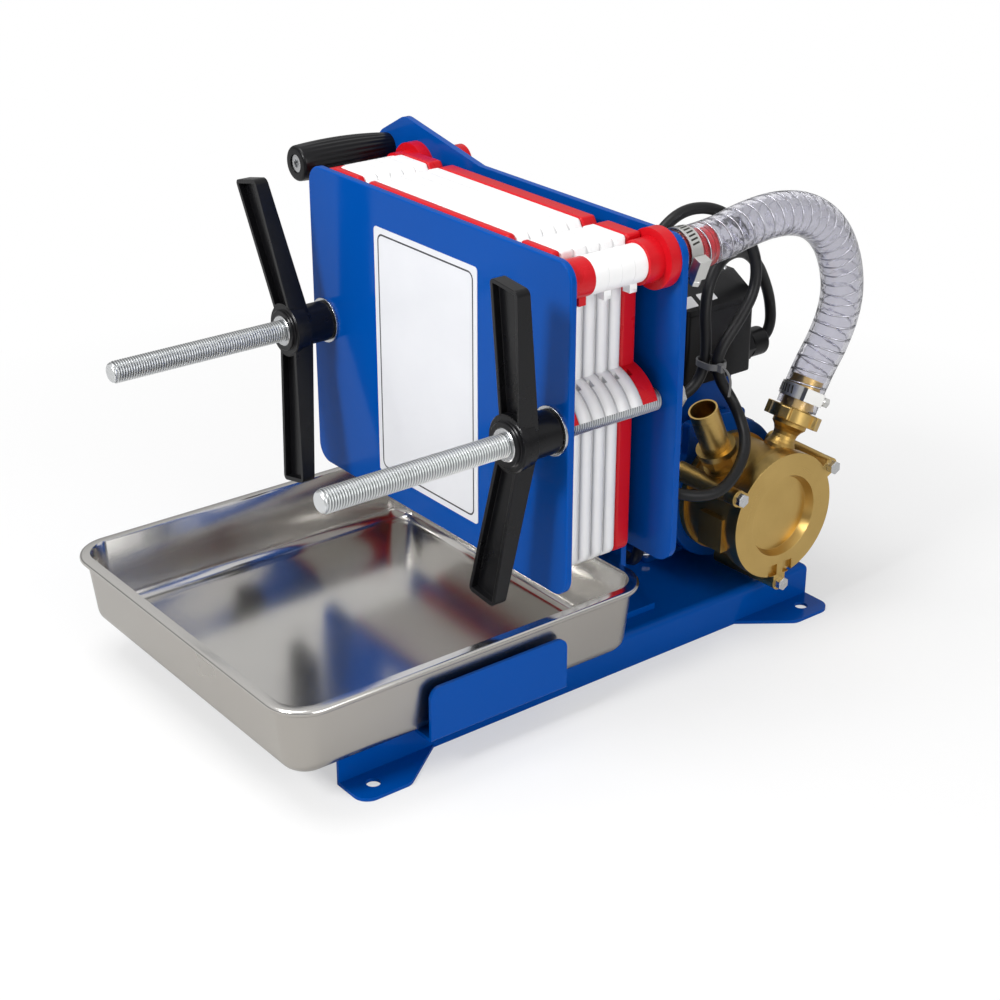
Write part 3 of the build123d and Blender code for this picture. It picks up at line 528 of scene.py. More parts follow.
@dataclass(frozen=True)
class ClearVinyl(Finish):
    """Clear soft vinyl with a faint violet tint."""

    colour: Point = (0.925, 0.92, 0.98)
    lining: str = "lining"

    def build(self) -> bpy.types.Material:
        """Glass-like and dimpled; the lining, inside the wire, is milky."""
        surface = Surface(self.name)
        lining = surface.node("ShaderNodeAttribute", {"attribute_name": self.lining}).output("Fac")
        ripple = surface.noise(70.0, 2.0) + surface.noise(210.0, 1.0) * 0.25
        return surface.finish(
            Base_Color=(*self.colour, 1.0),
            Roughness=lining * 0.12 + 0.02,
            Transmission_Weight=1.0,
            IOR=1.4,
            Normal=surface.bump(ripple, 0.0008),
        )


@dataclass(frozen=True)
class LabelFilm(Finish):
    """White satin film with a thin dark line near its edge."""

    centre: Pair = (0.0, 0.0)
    half: Pair = (0.05, 0.09)
    inset: float = 0.005
    corner: float = 0.005
    line: float = 0.0013

    def build(self) -> bpy.types.Material:
        """The line is where the distance to an inset rounded rectangle is small."""
        surface = Surface(self.name)
        x, _, z = surface.axes()
        reach = [half - self.inset - self.corner for half in self.half]
        across = ((x - self.centre[0]).apply("ABSOLUTE") - reach[0]).apply("MAXIMUM", 0.0)
        up = ((z - self.centre[1]).apply("ABSOLUTE") - reach[1]).apply("MAXIMUM", 0.0)
        inside_x = (x - self.centre[0]).apply("ABSOLUTE") - reach[0]
        inside_z = (z - self.centre[1]).apply("ABSOLUTE") - reach[1]
        inner = inside_x.apply("MAXIMUM", inside_z).apply("MINIMUM", 0.0)
        distance = (across * across + up * up).apply("SQRT") + inner - self.corner
        line = distance.apply("ABSOLUTE") < self.line / 2
        paper = surface.noise(25.0, 3.0)
        white = surface.tint(paper, (0.7, 0.71, 0.75), (0.76, 0.77, 0.8))
        return surface.finish(
            Base_Color=surface.tint(line, white, (0.02, 0.02, 0.03)),
            Roughness=0.32,
            Coat_Weight=0.3,
            Coat_Roughness=0.1,
            Normal=surface.bump(surface.noise(35.0, 2.0), 0.0003),
        )


SUCTION_TILT = math.radians(-24.5)
DISCHARGE_TILT = math.radians(28.0)
PUMP_MIDDLE = (0.110, 0.164, 0.091)
DISCHARGE_FOOT = (0.110, 0.169, 0.091)
DISCHARGE_AXIS = (0.0, math.sin(DISCHARGE_TILT), math.cos(DISCHARGE_TILT))

PAINT = GlossPaint("gloss_blue_paint", Slot.BLUE)
MOTOR_PAINT = GlossPaint("motor_blue_paint", Slot.MOTOR, colour=(0.0, 0.055, 0.28), roughness=0.3)
ZINC = BareMetal("bright_zinc", Slot.ZINC, lines=(1.0, 1.0, 1.0))
THREAD = RolledThread("rolled_thread", Slot.ZINC)
STRIP = BareMetal("clamp_strip", Slot.CLAMP, colour=(0.72, 0.72, 0.7), roughness=0.36)
STEEL_SHEET = PressedStainless("pressed_stainless", Slot.STAINLESS)
BLACK = MouldedPlastic("black_moulding", Slot.BLACK, colour=(0.005, 0.005, 0.006), roughness=0.28)
# Painted shade: near-black finish for the shade inside the clamp screw's socket.
HOLLOW_SHADE = MouldedPlastic("dark_hollow", Slot.BLACK, colour=(0.004, 0.004, 0.004), roughness=0.7, shine=0.1)
# Painted shade: near-black finish for the shade inside the slots of the clamp band.
SLOT_SHADE = MouldedPlastic("clamp_slots", Slot.CLAMP, colour=(0.03, 0.028, 0.025), roughness=0.5, shine=0.2)
TIE = MouldedPlastic("grey_tie", Slot.BLACK, colour=(0.17, 0.17, 0.17), roughness=0.35)
WHITE = PlateMoulding("white_moulding", Slot.WHITE)
PAPER = MouldedPlastic("blank_sticker", Slot.WHITE, colour=(0.8, 0.8, 0.8), roughness=0.4)
RED = MouldedPlastic("red_moulding", Slot.RED, colour=(0.6, 0.006, 0.013), roughness=0.28)
CAST = CastBrass("cast_brass", Slot.BRASS)
FACED = LatheBrass("faced_brass", Slot.BRASS, centre=PUMP_MIDDLE, axis=(1.0, 0.0, 0.0), faced=True,
                   line_scale=700.0)
SUCTION_BRASS = LatheBrass("suction_brass", Slot.BRASS, barb_pitch=8 * MM,
                           axis=(0.0, math.sin(SUCTION_TILT), math.cos(SUCTION_TILT)))
DISCHARGE_BRASS = LatheBrass("discharge_brass", Slot.BRASS, axis=DISCHARGE_AXIS)
VINYL = ClearVinyl("clear_vinyl", Slot.VINYL)
SHEATH = MouldedPlastic("black_sheath", Slot.RUBBER, colour=(0.012, 0.012, 0.013), roughness=0.36)
WIRE = BareMetal("hose_wire", Slot.VINYL, colour=(0.85, 0.85, 0.88), roughness=0.22)


def new_piece(name: str, mesh: bpy.types.Mesh, finish: Finish, body: str = "root") -> bpy.types.Object:
    """Link a mesh as a finished piece that rides on a body.

    Args:
        name: The piece's name.
        mesh: Its mesh, already in its place.
        finish: Its finish.
        body: The CAD body that it moves with.

    Returns:
        The new object, at the origin.
    """
    piece = bpy.data.objects.new(name, mesh)
    bpy.context.scene.collection.objects.link(piece)
    finish.dress(piece)
    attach(piece, body)
    return piece


def shade(mesh: bpy.types.Mesh, angle: float = 32.0) -> None:
    """Shade a mesh smooth, with edges sharp past an angle in degrees."""
    mesh.shade_smooth()
    mesh.set_sharp_from_angle(angle=math.radians(angle))


def add_bevel(piece: bpy.types.Object, width: float, segments: int = 2) -> None:
    """Round a piece's sharp edges with a bevel modifier."""
    bevel = piece.modifiers.new("rounded_edges", "BEVEL")
    bevel.width = width
    bevel.segments = segments
    bevel.limit_method = "ANGLE"
    bevel.angle_limit = math.radians(32)
    bevel.harden_normals = True


def rounded_copy(frame: dict, node: str, name: str, finish: Finish, width: float) -> bpy.types.Object:
    """Stand-in for a CAD node: its merged mesh with rounded edges.

    Args:
        node: The CAD node.
        name: The new piece's name.
        finish: Its finish.
        width: Width of the rounding, in metres.

    Returns:
        The piece, which replaces the node.
    """
    source = frame["nodes"][node]
    mesh = source.data.copy()
    shape = bmesh.new()
    shape.from_mesh(mesh)
    bmesh.ops.remove_doubles(shape, verts=shape.verts, dist=2e-6)
    flat = math.radians(0.4)
    bmesh.ops.dissolve_limit(shape, angle_limit=flat, verts=shape.verts, edges=shape.edges)
    shape.to_mesh(mesh)
    shape.free()
    if "custom_normal" in mesh.attributes:
        mesh.attributes.remove(mesh.attributes["custom_normal"])
    shade(mesh)
    piece = new_piece(name, mesh, finish, source["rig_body"])
    add_bevel(piece, width)
    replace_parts(piece, node)
    return piece


def mesh_from_rings(name: str, rings: Sequence[Sequence[Point]], closed: bool = False) -> bpy.types.Mesh:
    """Skin rings that have the same number of points.

    Args:
        name: The mesh's name.
        rings: Rings of points, in order along the shape.
        closed: Whether the last ring joins the first; otherwise both ends are capped.

    Returns:
        The mesh, with its faces pointing outwards.
    """
    count = len(rings[0])
    points = [point for ring in rings for point in ring]
    faces: list[tuple[int, ...]] = []
    for low in range(len(rings) if closed else len(rings) - 1):
        high = (low + 1) % len(rings)
        for step in range(count):
            following = (step + 1) % count
            faces.append((low * count + step, low * count + following,
                          high * count + following, high * count + step))
    if not closed:
        faces.append(tuple(reversed(range(count))))
        faces.append(tuple(range((len(rings) - 1) * count, len(rings) * count)))
    mesh = bpy.data.meshes.new(name)
    mesh.from_pydata(points, [], faces)
    shape = bmesh.new()
    shape.from_mesh(mesh)
    bmesh.ops.remove_doubles(shape, verts=shape.verts, dist=1e-7)
    bmesh.ops.recalc_face_normals(shape, faces=shape.faces)
    shape.to_mesh(mesh)
    shape.free()
    return mesh


def rounded_rectangle(half: Pair, radius: float, centre: Pair, z: float,
                      steps: int) -> list[Point]:
    """Points round a level rectangle with rounded corners.

    Args:
        half: Half its sides in X and Y.
        radius: Radius of its corners.
        centre: Its centre in X and Y.
        z: Its height.
        steps: Points on each corner's arc, less one.

    Returns:
        The points, anticlockwise from above.
    """
    ring = []
    for corner in range(4):
        start = corner * math.pi / 2
        mid_x = math.copysign(half[0] - radius, math.cos(start + math.pi / 4)) + centre[0]
        mid_y = math.copysign(half[1] - radius, math.sin(start + math.pi / 4)) + centre[1]
        for step in range(steps + 1):
            angle = start + math.pi / 2 * step / steps
            ring.append((mid_x + radius * math.cos(angle), mid_y + radius * math.sin(angle), z))
    return ring


def turned_mesh(name: str, profile: Sequence[Pair], sides: int, place: Matrix) -> bpy.types.Mesh:
    """Solid turned about Z, or a prism where it has few sides, then put in its place.

    Args:
        name: The mesh's name.
        profile: Pairs of height and radius, from its lower end to its upper one.
        sides: Points round it.
        place: Where it goes.

    Returns:
        The mesh, closed at both ends.
    """
    turn = 2 * math.pi / sides
    rings = [
        [(radius * math.cos(turn * step), radius * math.sin(turn * step), height) for step in range(sides)]
        for height, radius in profile
    ]
    mesh = mesh_from_rings(name, rings)
    mesh.transform(place)
    shade(mesh)
    return mesh


def arc(centre: Pair, radius: float, start: float, end: float, steps: int) -> list[Pair]:
    """Points on an arc of a profile, with its angles in degrees."""
    turn = math.radians(end - start)
    first = math.radians(start)
    return [
        (centre[0] + radius * math.cos(first + turn * step / steps),
         centre[1] + radius * math.sin(first + turn * step / steps))
        for step in range(steps + 1)
    ]


class GeometryTree(NodeTree):
    """Geometry node tree that is run once on an object and turned into a plain mesh."""

    def __init__(self, name: str, sizes: dict[str, float], takes_geometry: bool = False) -> None:
        """Make the tree with its named sizes.

        Args:
            name: The tree's name.
            sizes: Its inputs and their values.
            takes_geometry: Whether it starts from the object's own geometry.
        """
        super().__init__(bpy.data.node_groups.new(name, "GeometryNodeTree"))
        face = self.tree.interface
        face.new_socket("Geometry", in_out="OUTPUT", socket_type="NodeSocketGeometry")
        if takes_geometry:
            face.new_socket("Geometry", in_out="INPUT", socket_type="NodeSocketGeometry")
        self.sizes = sizes
        self.sockets = {}
        for size, value in sizes.items():
            socket = face.new_socket(size, in_out="INPUT", socket_type="NodeSocketFloat")
            socket.default_value = value
            self.sockets[size] = socket.identifier
        self.entry = self.tree.nodes.new("NodeGroupInput")

    def size(self, name: str) -> Signal:
        """One of the tree's inputs."""
        return Signal(self, self.entry.outputs[name])

    def geometry(self) -> Signal:
        """The geometry that the tree starts from."""
        return Signal(self, self.entry.outputs["Geometry"])

    def vector(self, x: object, y: object, z: object) -> Signal:
        """Vector of three numbers or signals."""
        return self.node("ShaderNodeCombineXYZ", inputs={0: x, 1: y, 2: z})

    def scaled(self, vector: Signal, factor: object) -> Signal:
        """Vector times a number."""
        return self.node("ShaderNodeVectorMath", {"operation": "SCALE"}, {0: vector, "Scale": factor})

    def summed(self, first: Signal, second: Signal) -> Signal:
        """Sum of two vectors."""
        return self.node("ShaderNodeVectorMath", {"operation": "ADD"}, {0: first, 1: second})

    def joined(self, parts: Sequence[Signal]) -> Signal:
        """One geometry made of several."""
        whole = self.node("GeometryNodeJoinGeometry", inputs={0: parts[0]})
        for part in parts[1:]:
            self.tree.links.new(part.socket, whole.socket.node.inputs[0])
        return whole

    def marked(self, shape: Signal, name: str, value: object) -> Signal:
        """Geometry whose points carry a named value for its finish to read."""
        return self.node("GeometryNodeStoreNamedAttribute", {"data_type": "FLOAT", "domain": "POINT"},
                         {"Geometry": shape, "Name": name, "Value": value})

    def wire(self, line: Signal, size: str, sides: int = 8, **caps: bool) -> Signal:
        """Round bar along a curve, as thick as a named size says."""
        profile = self.node("GeometryNodeCurvePrimitiveCircle",
                            inputs={"Resolution": sides, "Radius": self.size(size)})
        ends = {name.replace("_", " "): value for name, value in caps.items()}
        return self.node("GeometryNodeCurveToMesh", inputs={0: line, 1: profile, **ends})

    def run(self, name: str, shape: Signal, finish: Finish,
            source: bpy.types.ID | None = None) -> bpy.types.Mesh:
        """Close the tree, run it and give its plain mesh.

        Args:
            name: The mesh's name.
            shape: The geometry that the tree ends in.
            finish: The finish whose material it sets.
            source: The object data that it starts from, or None for an empty mesh.

        Returns:
            The realized mesh.
        """
        real = self.node("GeometryNodeRealizeInstances", inputs={0: shape})
        dressed = self.node("GeometryNodeSetMaterial", inputs={0: real, "Material": finish.material()})
        self.node("NodeGroupOutput", inputs={0: dressed})
        holder = bpy.data.objects.new(name, source or bpy.data.meshes.new(name))
        bpy.context.scene.collection.objects.link(holder)
        modifier = holder.modifiers.new(name, "NODES")
        modifier.node_group = self.tree
        for size, value in self.sizes.items():
            modifier[self.sockets[size]] = value
        depsgraph = bpy.context.evaluated_depsgraph_get()
        mesh = bpy.data.meshes.new_from_object(holder.evaluated_get(depsgraph))
        mesh.name = name
        bpy.data.objects.remove(holder)
        return mesh


@dataclass(frozen=True)
class Viewpoint:
    """The camera, solved from the straight edges in the photograph."""

    place: Point = (1.01199, -0.77614, 0.69865)
    yaw: float = 52.12
    pitch: float = 25.21
    roll: float = 0.07
    lens: float = 68.84

    def build(self) -> bpy.types.Object:
        """Add the camera and make it the scene's."""
        data = bpy.data.cameras.new("camera")
        data.lens = self.lens
        data.sensor_width = 36.0
        camera = bpy.data.objects.new("camera", data)
        bpy.context.scene.collection.objects.link(camera)
        yaw, pitch = math.radians(self.yaw), math.radians(self.pitch)
        ahead = Vector((-math.sin(yaw) * math.cos(pitch), math.cos(yaw) * math.cos(pitch), -math.sin(pitch)))
        turn = ahead.to_track_quat("-Z", "Y").to_matrix() @ Matrix.Rotation(math.radians(self.roll), 3, "Z")
        camera.matrix_world = Matrix.Translation(self.place) @ turn.to_4x4()
        bpy.context.scene.camera = camera
        return camera


@dataclass(frozen=True)
class Lamp:
    """A square soft lamp that looks at a point."""

    name: str
    place: Point
    size: float
    power: float
    target: Point = (0.0, 0.0, 0.15)

    def build(self) -> None:
        """Add the lamp to the scene."""
        data = bpy.data.lights.new(self.name, "AREA")
        data.shape = "SQUARE"
        data.size = self.size
        data.energy = self.power
        lamp = bpy.data.objects.new(self.name, data)
        lamp.location = self.place
        aim = Vector(self.target) - Vector(self.place)
        lamp.rotation_euler = aim.to_track_quat("-Z", "Y").to_euler()
        bpy.context.scene.collection.objects.link(lamp)


@dataclass(frozen=True)
class Studio:
    """Pale floor and backdrop with soft lamps."""

    half_floor: float = 6.0
    ambient: float = 0.42
    backdrop: float = 1.0
    near_share: float = 0.5
    near_reach: float = 0.28
    far_reach: float = 0.75
    lamps: tuple[Lamp, ...] = (
        Lamp("key_lamp", (0.25, -1.9, 1.6), 0.5, 34.0),
        Lamp("side_lamp", (2.0, 0.1, 0.9), 1.3, 14.0),
        Lamp("top_lamp", (-0.3, -0.5, 2.0), 0.9, 15.0),
    )

    def world(self) -> None:
        """White to the camera and through glass, grey-to-white in reflections, plain light otherwise."""
        world = bpy.data.worlds.new("studio")
        world.use_nodes = True
        bpy.context.scene.world = world
        tree = NodeTree(world.node_tree)
        tree.tree.nodes.clear()
        rays = tree.node("ShaderNodeLightPath")
        height = tree.node("ShaderNodeSeparateXYZ", inputs={0: tree.node("ShaderNodeTexCoord")}).output("Z")
        stops = [(0.0, grey(0.6)), (0.46, grey(0.7)), (0.54, grey(0.2)), (0.64, grey(0.35)),
                 (0.72, grey(0.68)), (1.0, grey(0.85))]
        sky = tree.node("ShaderNodeValToRGB", {"stops": stops}, {0: height * 0.5 + 0.5})
        plain = tree.node("ShaderNodeBackground", inputs={0: grey(1.0), 1: self.ambient})
        mirrored = tree.node("ShaderNodeBackground", inputs={0: sky, 1: 1.0})
        white = tree.node("ShaderNodeBackground", inputs={0: grey(1.0), 1: self.backdrop})
        first = tree.node("ShaderNodeMixShader",
                          inputs={0: rays.output("Is Glossy Ray"), 1: plain, 2: mirrored})
        seen = rays.output("Is Camera Ray").apply("MAXIMUM", rays.output("Is Transmission Ray"))
        last = tree.node("ShaderNodeMixShader", inputs={0: seen, 1: first, 2: white})
        tree.node("ShaderNodeOutputWorld", inputs={"Surface": last})

    def floor(self) -> None:
        """Level floor that is nearly white to the camera, greyer in reflections, with a soft shadow."""
        side = self.half_floor
        mesh = bpy.data.meshes.new("floor")
        drop = -0.0002
        corners = [(-side, -side, drop), (side, -side, drop), (side, side, drop), (-side, side, drop)]
        mesh.from_pydata(corners, [], [(0, 1, 2, 3)])
        floor = bpy.data.objects.new("floor", mesh)
        bpy.context.scene.collection.objects.link(floor)
        material = bpy.data.materials.new("floor")
        material.use_nodes = True
        tree = NodeTree(material.node_tree)
        tree.tree.nodes.clear()
        rays = tree.node("ShaderNodeLightPath")
        matt = tree.node("ShaderNodeBsdfDiffuse", inputs={0: 0.86 - rays.output("Is Glossy Ray") * 0.2})
        glow = tree.node("ShaderNodeEmission", inputs={0: grey(1.0), 1: 1.0})
        place = tree.node("ShaderNodeTexCoord").output("Object")
        distance = tree.node("ShaderNodeVectorMath", {"operation": "LENGTH"}, {0: place}).output("Value")
        far = ((distance - self.near_reach) / (self.far_reach - self.near_reach)).apply("MAXIMUM", 0.0)
        spread = far.apply("MINIMUM", 1.0) * (1 - self.near_share) + self.near_share
        share = rays.output("Is Camera Ray") * spread
        mixed = tree.node("ShaderNodeMixShader", inputs={0: share, 1: matt, 2: glow})
        tree.node("ShaderNodeOutputMaterial", inputs={"Surface": mixed})
        floor.data.materials.append(material)

    def build(self) -> None:
        """Add the world, the floor and the lamps."""
        self.world()
        self.floor()
        for lamp in self.lamps:
            lamp.build()
        bpy.context.scene.view_settings.view_transform = "Standard"


@dataclass
class DripTray:
    """Pressed stainless tray with a rolled rim."""

    sheet: float = 1.2 * MM
    bead: float = 2.4 * MM
    taper: float = 6.0
    corner: float = 26.0 * MM
    floor_radius: float = 11.0 * MM
    corner_steps: int = 20

    def profile(self, low: Vector, high: Vector) -> list[Pair]:
        """Half side and height of each ring, from under the floor round the rim to its top side.

        Args:
            low: Lowest corner of the CAD tray.
            high: Highest corner of the CAD tray.

        Returns:
            Pairs of half side and height.
        """
        rim = (high.x - low.x) / 2
        wall = rim - 2 * self.bead
        lean = math.tan(math.radians(self.taper))
        foot = wall - (high.z - low.z) * lean
        turn = 90.0 - self.taper
        outer = arc((foot - self.floor_radius * math.tan(math.radians(turn / 2)), low.z + self.floor_radius),
                    self.floor_radius, -90, -self.taper, 8)
        roll_mid = (rim - self.bead, high.z - self.bead)
        roll = arc(roll_mid, self.bead, -120, 90, 12)
        inner_r = self.floor_radius - self.sheet
        throat = [(wall - self.sheet - 1.5 * MM, high.z), (wall - self.sheet - 2.6 * MM, high.z - 1.4 * MM)]
        inner = arc((outer[0][0], low.z + self.floor_radius), inner_r, -self.taper, -90, 8)
        return outer + [(wall - self.sheet * 0.3, high.z - 2.2 * self.bead)] + roll + throat + inner

    def build(self) -> None:
        """Loft the tray and put it in place of the CAD one."""
        low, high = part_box("drip_tray")
        centre = ((low.x + high.x) / 2, (low.y + high.y) / 2)
        rim = (high.x - low.x) / 2
        profile = self.profile(low, high)
        rings = [
            rounded_rectangle((half, half), max(self.corner + self.bead - (rim - half), 2 * MM), centre, z,
                              self.corner_steps)
            for half, z in profile
        ]
        mesh = mesh_from_rings("drip_tray_sheet", rings)
        rolled = max(range(len(profile)), key=lambda ring: profile[ring][0])
        outside = mesh.attributes.new(STEEL_SHEET.outside, "FLOAT", "POINT")
        for index, value in enumerate(outside.data):
            value.value = float(index // len(rings[0]) <= rolled)
        shade(mesh, 40)
        piece = new_piece("drip_tray_sheet", mesh, STEEL_SHEET)
        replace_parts(piece, "drip_tray")


@dataclass
class ThreadedRod:
    """Rod with a metric thread along its whole length."""

    side: Side
    pitch: float = 2.0 * MM
    depth: float = 1.05 * MM
    turn_steps: int = 36

    def build(self) -> None:
        """Skin a helix of thread profile points and put it in place of the plain rod."""
        node = f"threaded_rod_{self.side.name.lower()}"
        low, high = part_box(node)
        radius = (high.x - low.x) / 2
        turns = (high.y - low.y) / self.pitch - 1.4
        tree = GeometryTree(f"{node}_thread", {
            "Pitch": self.pitch, "Radius": radius, "Depth": self.depth,
            "Middle X": (low.x + high.x) / 2, "Middle Z": (low.z + high.z) / 2,
            "Start": low.y + 0.2 * self.pitch,
        })
        along = int(turns * self.turn_steps)
        grid = tree.node("GeometryNodeMeshGrid", inputs={
            "Size X": 1.0, "Size Y": float(along), "Vertices X": 9, "Vertices Y": along + 1})
        place = tree.node("ShaderNodeSeparateXYZ", inputs={0: tree.node("GeometryNodeInputPosition")})
        across = place + 0.5
        step = place.output("Y") + along / 2
        angle = step * (2 * math.pi / self.turn_steps)
        tooth = 1 - (across * 2 - 1).apply("ABSOLUTE")
        crest = (tooth * 1.5 - 0.2).apply("MAXIMUM", 0.0).apply("MINIMUM", 1.0)
        ends = (step / (0.8 * self.turn_steps)).apply("MINIMUM", (along - step) / (0.8 * self.turn_steps))
        grown = ends.apply("MINIMUM", 1.0)
        reach = tree.size("Radius") - tree.size("Depth") + tree.size("Depth") * crest * grown
        advance = (step / self.turn_steps + across) * tree.size("Pitch") + tree.size("Start")
        spot = tree.vector(
            angle.apply("COSINE") * reach + tree.size("Middle X"),
            advance,
            angle.apply("SINE") * reach + tree.size("Middle Z"),
        )
        marked = tree.marked(grid, THREAD.depth_name, 1 - tooth)
        thread = tree.node("GeometryNodeSetPosition", inputs={0: marked, "Position": spot})
        mesh = tree.run(f"{node}_helix", thread, THREAD)
        shape = bmesh.new()
        shape.from_mesh(mesh)
        ends_at = ((low.y, -1), (high.y, 1))
        for face_y, way in ends_at:
            centre = Vector(((low.x + high.x) / 2, face_y, (low.z + high.z) / 2))
            self.cap(shape, centre, radius - self.depth, way)
        bmesh.ops.remove_doubles(shape, verts=shape.verts, dist=2e-6)
        shape.to_mesh(mesh)
        shape.free()
        shade(mesh, 35)
        piece = new_piece(f"{node}_helix", mesh, THREAD)
        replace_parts(piece, node)

    def cap(self, shape: bmesh.types.BMesh, centre: Vector, core: float, way: int) -> None:
        """Add one faced end of the rod with its short plain neck.

        Args:
            shape: The mesh that takes it.
            centre: Middle of the end face.
            core: Radius at the thread's root.
            way: Sign of Y that the face looks along.
        """
        neck = 1.6 * self.pitch
        rings = []
        for inset, radius in ((0.0, core - 0.8 * MM), (0.8 * MM, core), (neck, core)):
            y = centre.y - way * inset
            rings.append([
                shape.verts.new((centre.x + radius * math.cos(2 * math.pi * step / 48), y,
                                 centre.z + radius * math.sin(2 * math.pi * step / 48)))
                for step in range(48)
            ])
        for first, second in zip(rings, rings[1:]):
            for step in range(48):
                after = (step + 1) % 48
                loop = (first[step], first[after], second[after], second[step])
                shape.faces.new(loop if way < 0 else tuple(reversed(loop)))
        shape.faces.new(rings[0] if way > 0 else tuple(reversed(rings[0])))


@dataclass
class ClearHose:
    """Clear hose over two tails, with a steel wire wound through its wall."""

    outer: float = 31.0 * MM
    inner: float = 25.0 * MM
    length: float = 321.2 * MM
    wire: float = 1.4 * MM
    pitch: float = 10.0 * MM
    rings: int = 160
    sides: int = 48
    steps_per_turn: int = 26
    route_mm: tuple[Point, ...] = (
        (110, 203.74, 156.34), (110, 216.89, 181.06), (112.8, 232.5, 208), (116, 238.2, 236),
        (119.5, 230.5, 265), (122.8, 213, 292.5), (126.2, 187, 311), (129.8, 156, 319.8),
        (132.8, 121, 320.2), (134.5, 82, 312.5), (134.5, 49.3, 312.5),
    )

    def build(self) -> None:
        """Skin the wall and wind the wire, both along the same smooth line."""
        route = in_metres(self.route_mm)
        line = nurbs_curve("hose_line", route)
        walls = GeometryTree("hose_wall", {"Outer": self.outer / 2, "Inner": self.inner / 2}, True)
        fine = walls.node("GeometryNodeResampleCurve", {"mode": "COUNT"},
                          {0: walls.geometry(), "Count": self.rings})
        outer, inner = (walls.wire(fine, size, self.sides) for size in ("Outer", "Inner"))
        inward = walls.node("GeometryNodeFlipFaces", inputs={0: walls.marked(inner, VINYL.lining, 1.0)})
        mesh = walls.run("clear_hose_wall", walls.joined([outer, inward]), VINYL, line)
        self.close_ends(mesh)
        hose = new_piece("clear_hose_wall", mesh, VINYL)
        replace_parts(hose, "clear_hose")
        wire = self.winding(line)
        centreline(line)
        bpy.data.curves.remove(line)

    def close_ends(self, mesh: bpy.types.Mesh) -> None:
        """Join the inner and the outer wall at both ends."""
        shape = bmesh.new()
        shape.from_mesh(mesh)
        edges = [edge for edge in shape.edges if edge.is_boundary]
        bmesh.ops.bridge_loops(shape, edges=[e for e in edges if e.verts[0].co.z < 0.2])
        edges = [edge for edge in shape.edges if edge.is_boundary]
        bmesh.ops.bridge_loops(shape, edges=edges)
        bmesh.ops.recalc_face_normals(shape, faces=shape.faces)
        shape.to_mesh(mesh)
        shape.free()
        shade(mesh, 50)

    def winding(self, line: bpy.types.Curve) -> bpy.types.Object:
        """Wire helix in the middle of the wall.

        Args:
            line: The hose's centreline.

        Returns:
            The wire piece.
        """
        middle = (self.outer + self.inner) / 4
        sizes = {"Pitch": self.pitch, "Reach": middle, "Wire": self.wire / 2}
        tree = GeometryTree("hose_winding", sizes, True)
        count = int(self.length / self.pitch * self.steps_per_turn)
        fine = tree.node("GeometryNodeResampleCurve", {"mode": "COUNT"},
                         {0: tree.geometry(), "Count": count})
        done = tree.node("GeometryNodeSplineParameter").output("Length")
        angle = done / tree.size("Pitch") * (2 * math.pi)
        normal = tree.node("GeometryNodeInputNormal")
        tangent = tree.node("GeometryNodeInputTangent")
        beside = tree.node("ShaderNodeVectorMath", {"operation": "CROSS_PRODUCT"}, {0: tangent, 1: normal})
        out = tree.summed(tree.scaled(normal, angle.apply("COSINE")),
                          tree.scaled(beside, angle.apply("SINE")))
        wound = tree.node("GeometryNodeSetPosition",
                          inputs={0: fine, "Offset": tree.scaled(out, tree.size("Reach"))})
        mesh = tree.run("hose_wire_coil", tree.wire(wound, "Wire", Fill_Caps=True), WIRE, line)
        mesh.shade_smooth()
        return new_piece("hose_wire_coil", mesh, WIRE)


def in_metres(points_mm: Iterable[Point]) -> list[Point]:
    """The points in metres."""
    return [tuple(value * MM for value in point) for point in points_mm]


def nurbs_curve(name: str, route: Sequence[Point], radius: float = 0.0) -> bpy.types.Curve:
    """Smooth open curve with the route's points as its control points.

    Args:
        name: The curve's name.
        route: Control points.
        radius: Radius of the round section, or 0 for a bare line.

    Returns:
        The curve data.
    """
    curve = bpy.data.curves.new(name, "CURVE")
    curve.dimensions = "3D"
    curve.resolution_u = 16
    spline = curve.splines.new("NURBS")
    spline.points.add(len(route) - 1)
    for point, place in zip(spline.points, route):
        point.co = (*place, 1.0)
    spline.order_u = 3
    spline.use_endpoint_u = True
    curve.bevel_depth = radius
    curve.bevel_resolution = 6
    curve.use_fill_caps = radius > 0
    return curve


def centreline(line: bpy.types.Curve) -> list[Point]:
    """Points along a curve that has no section."""
    holder = bpy.data.objects.new("line_reader", line)
    bpy.context.scene.collection.objects.link(holder)
    depsgraph = bpy.context.evaluated_depsgraph_get()
    mesh = bpy.data.meshes.new_from_object(holder.evaluated_get(depsgraph))
    points = [tuple(vertex.co) for vertex in mesh.vertices]
    bpy.data.objects.remove(holder)
    return points


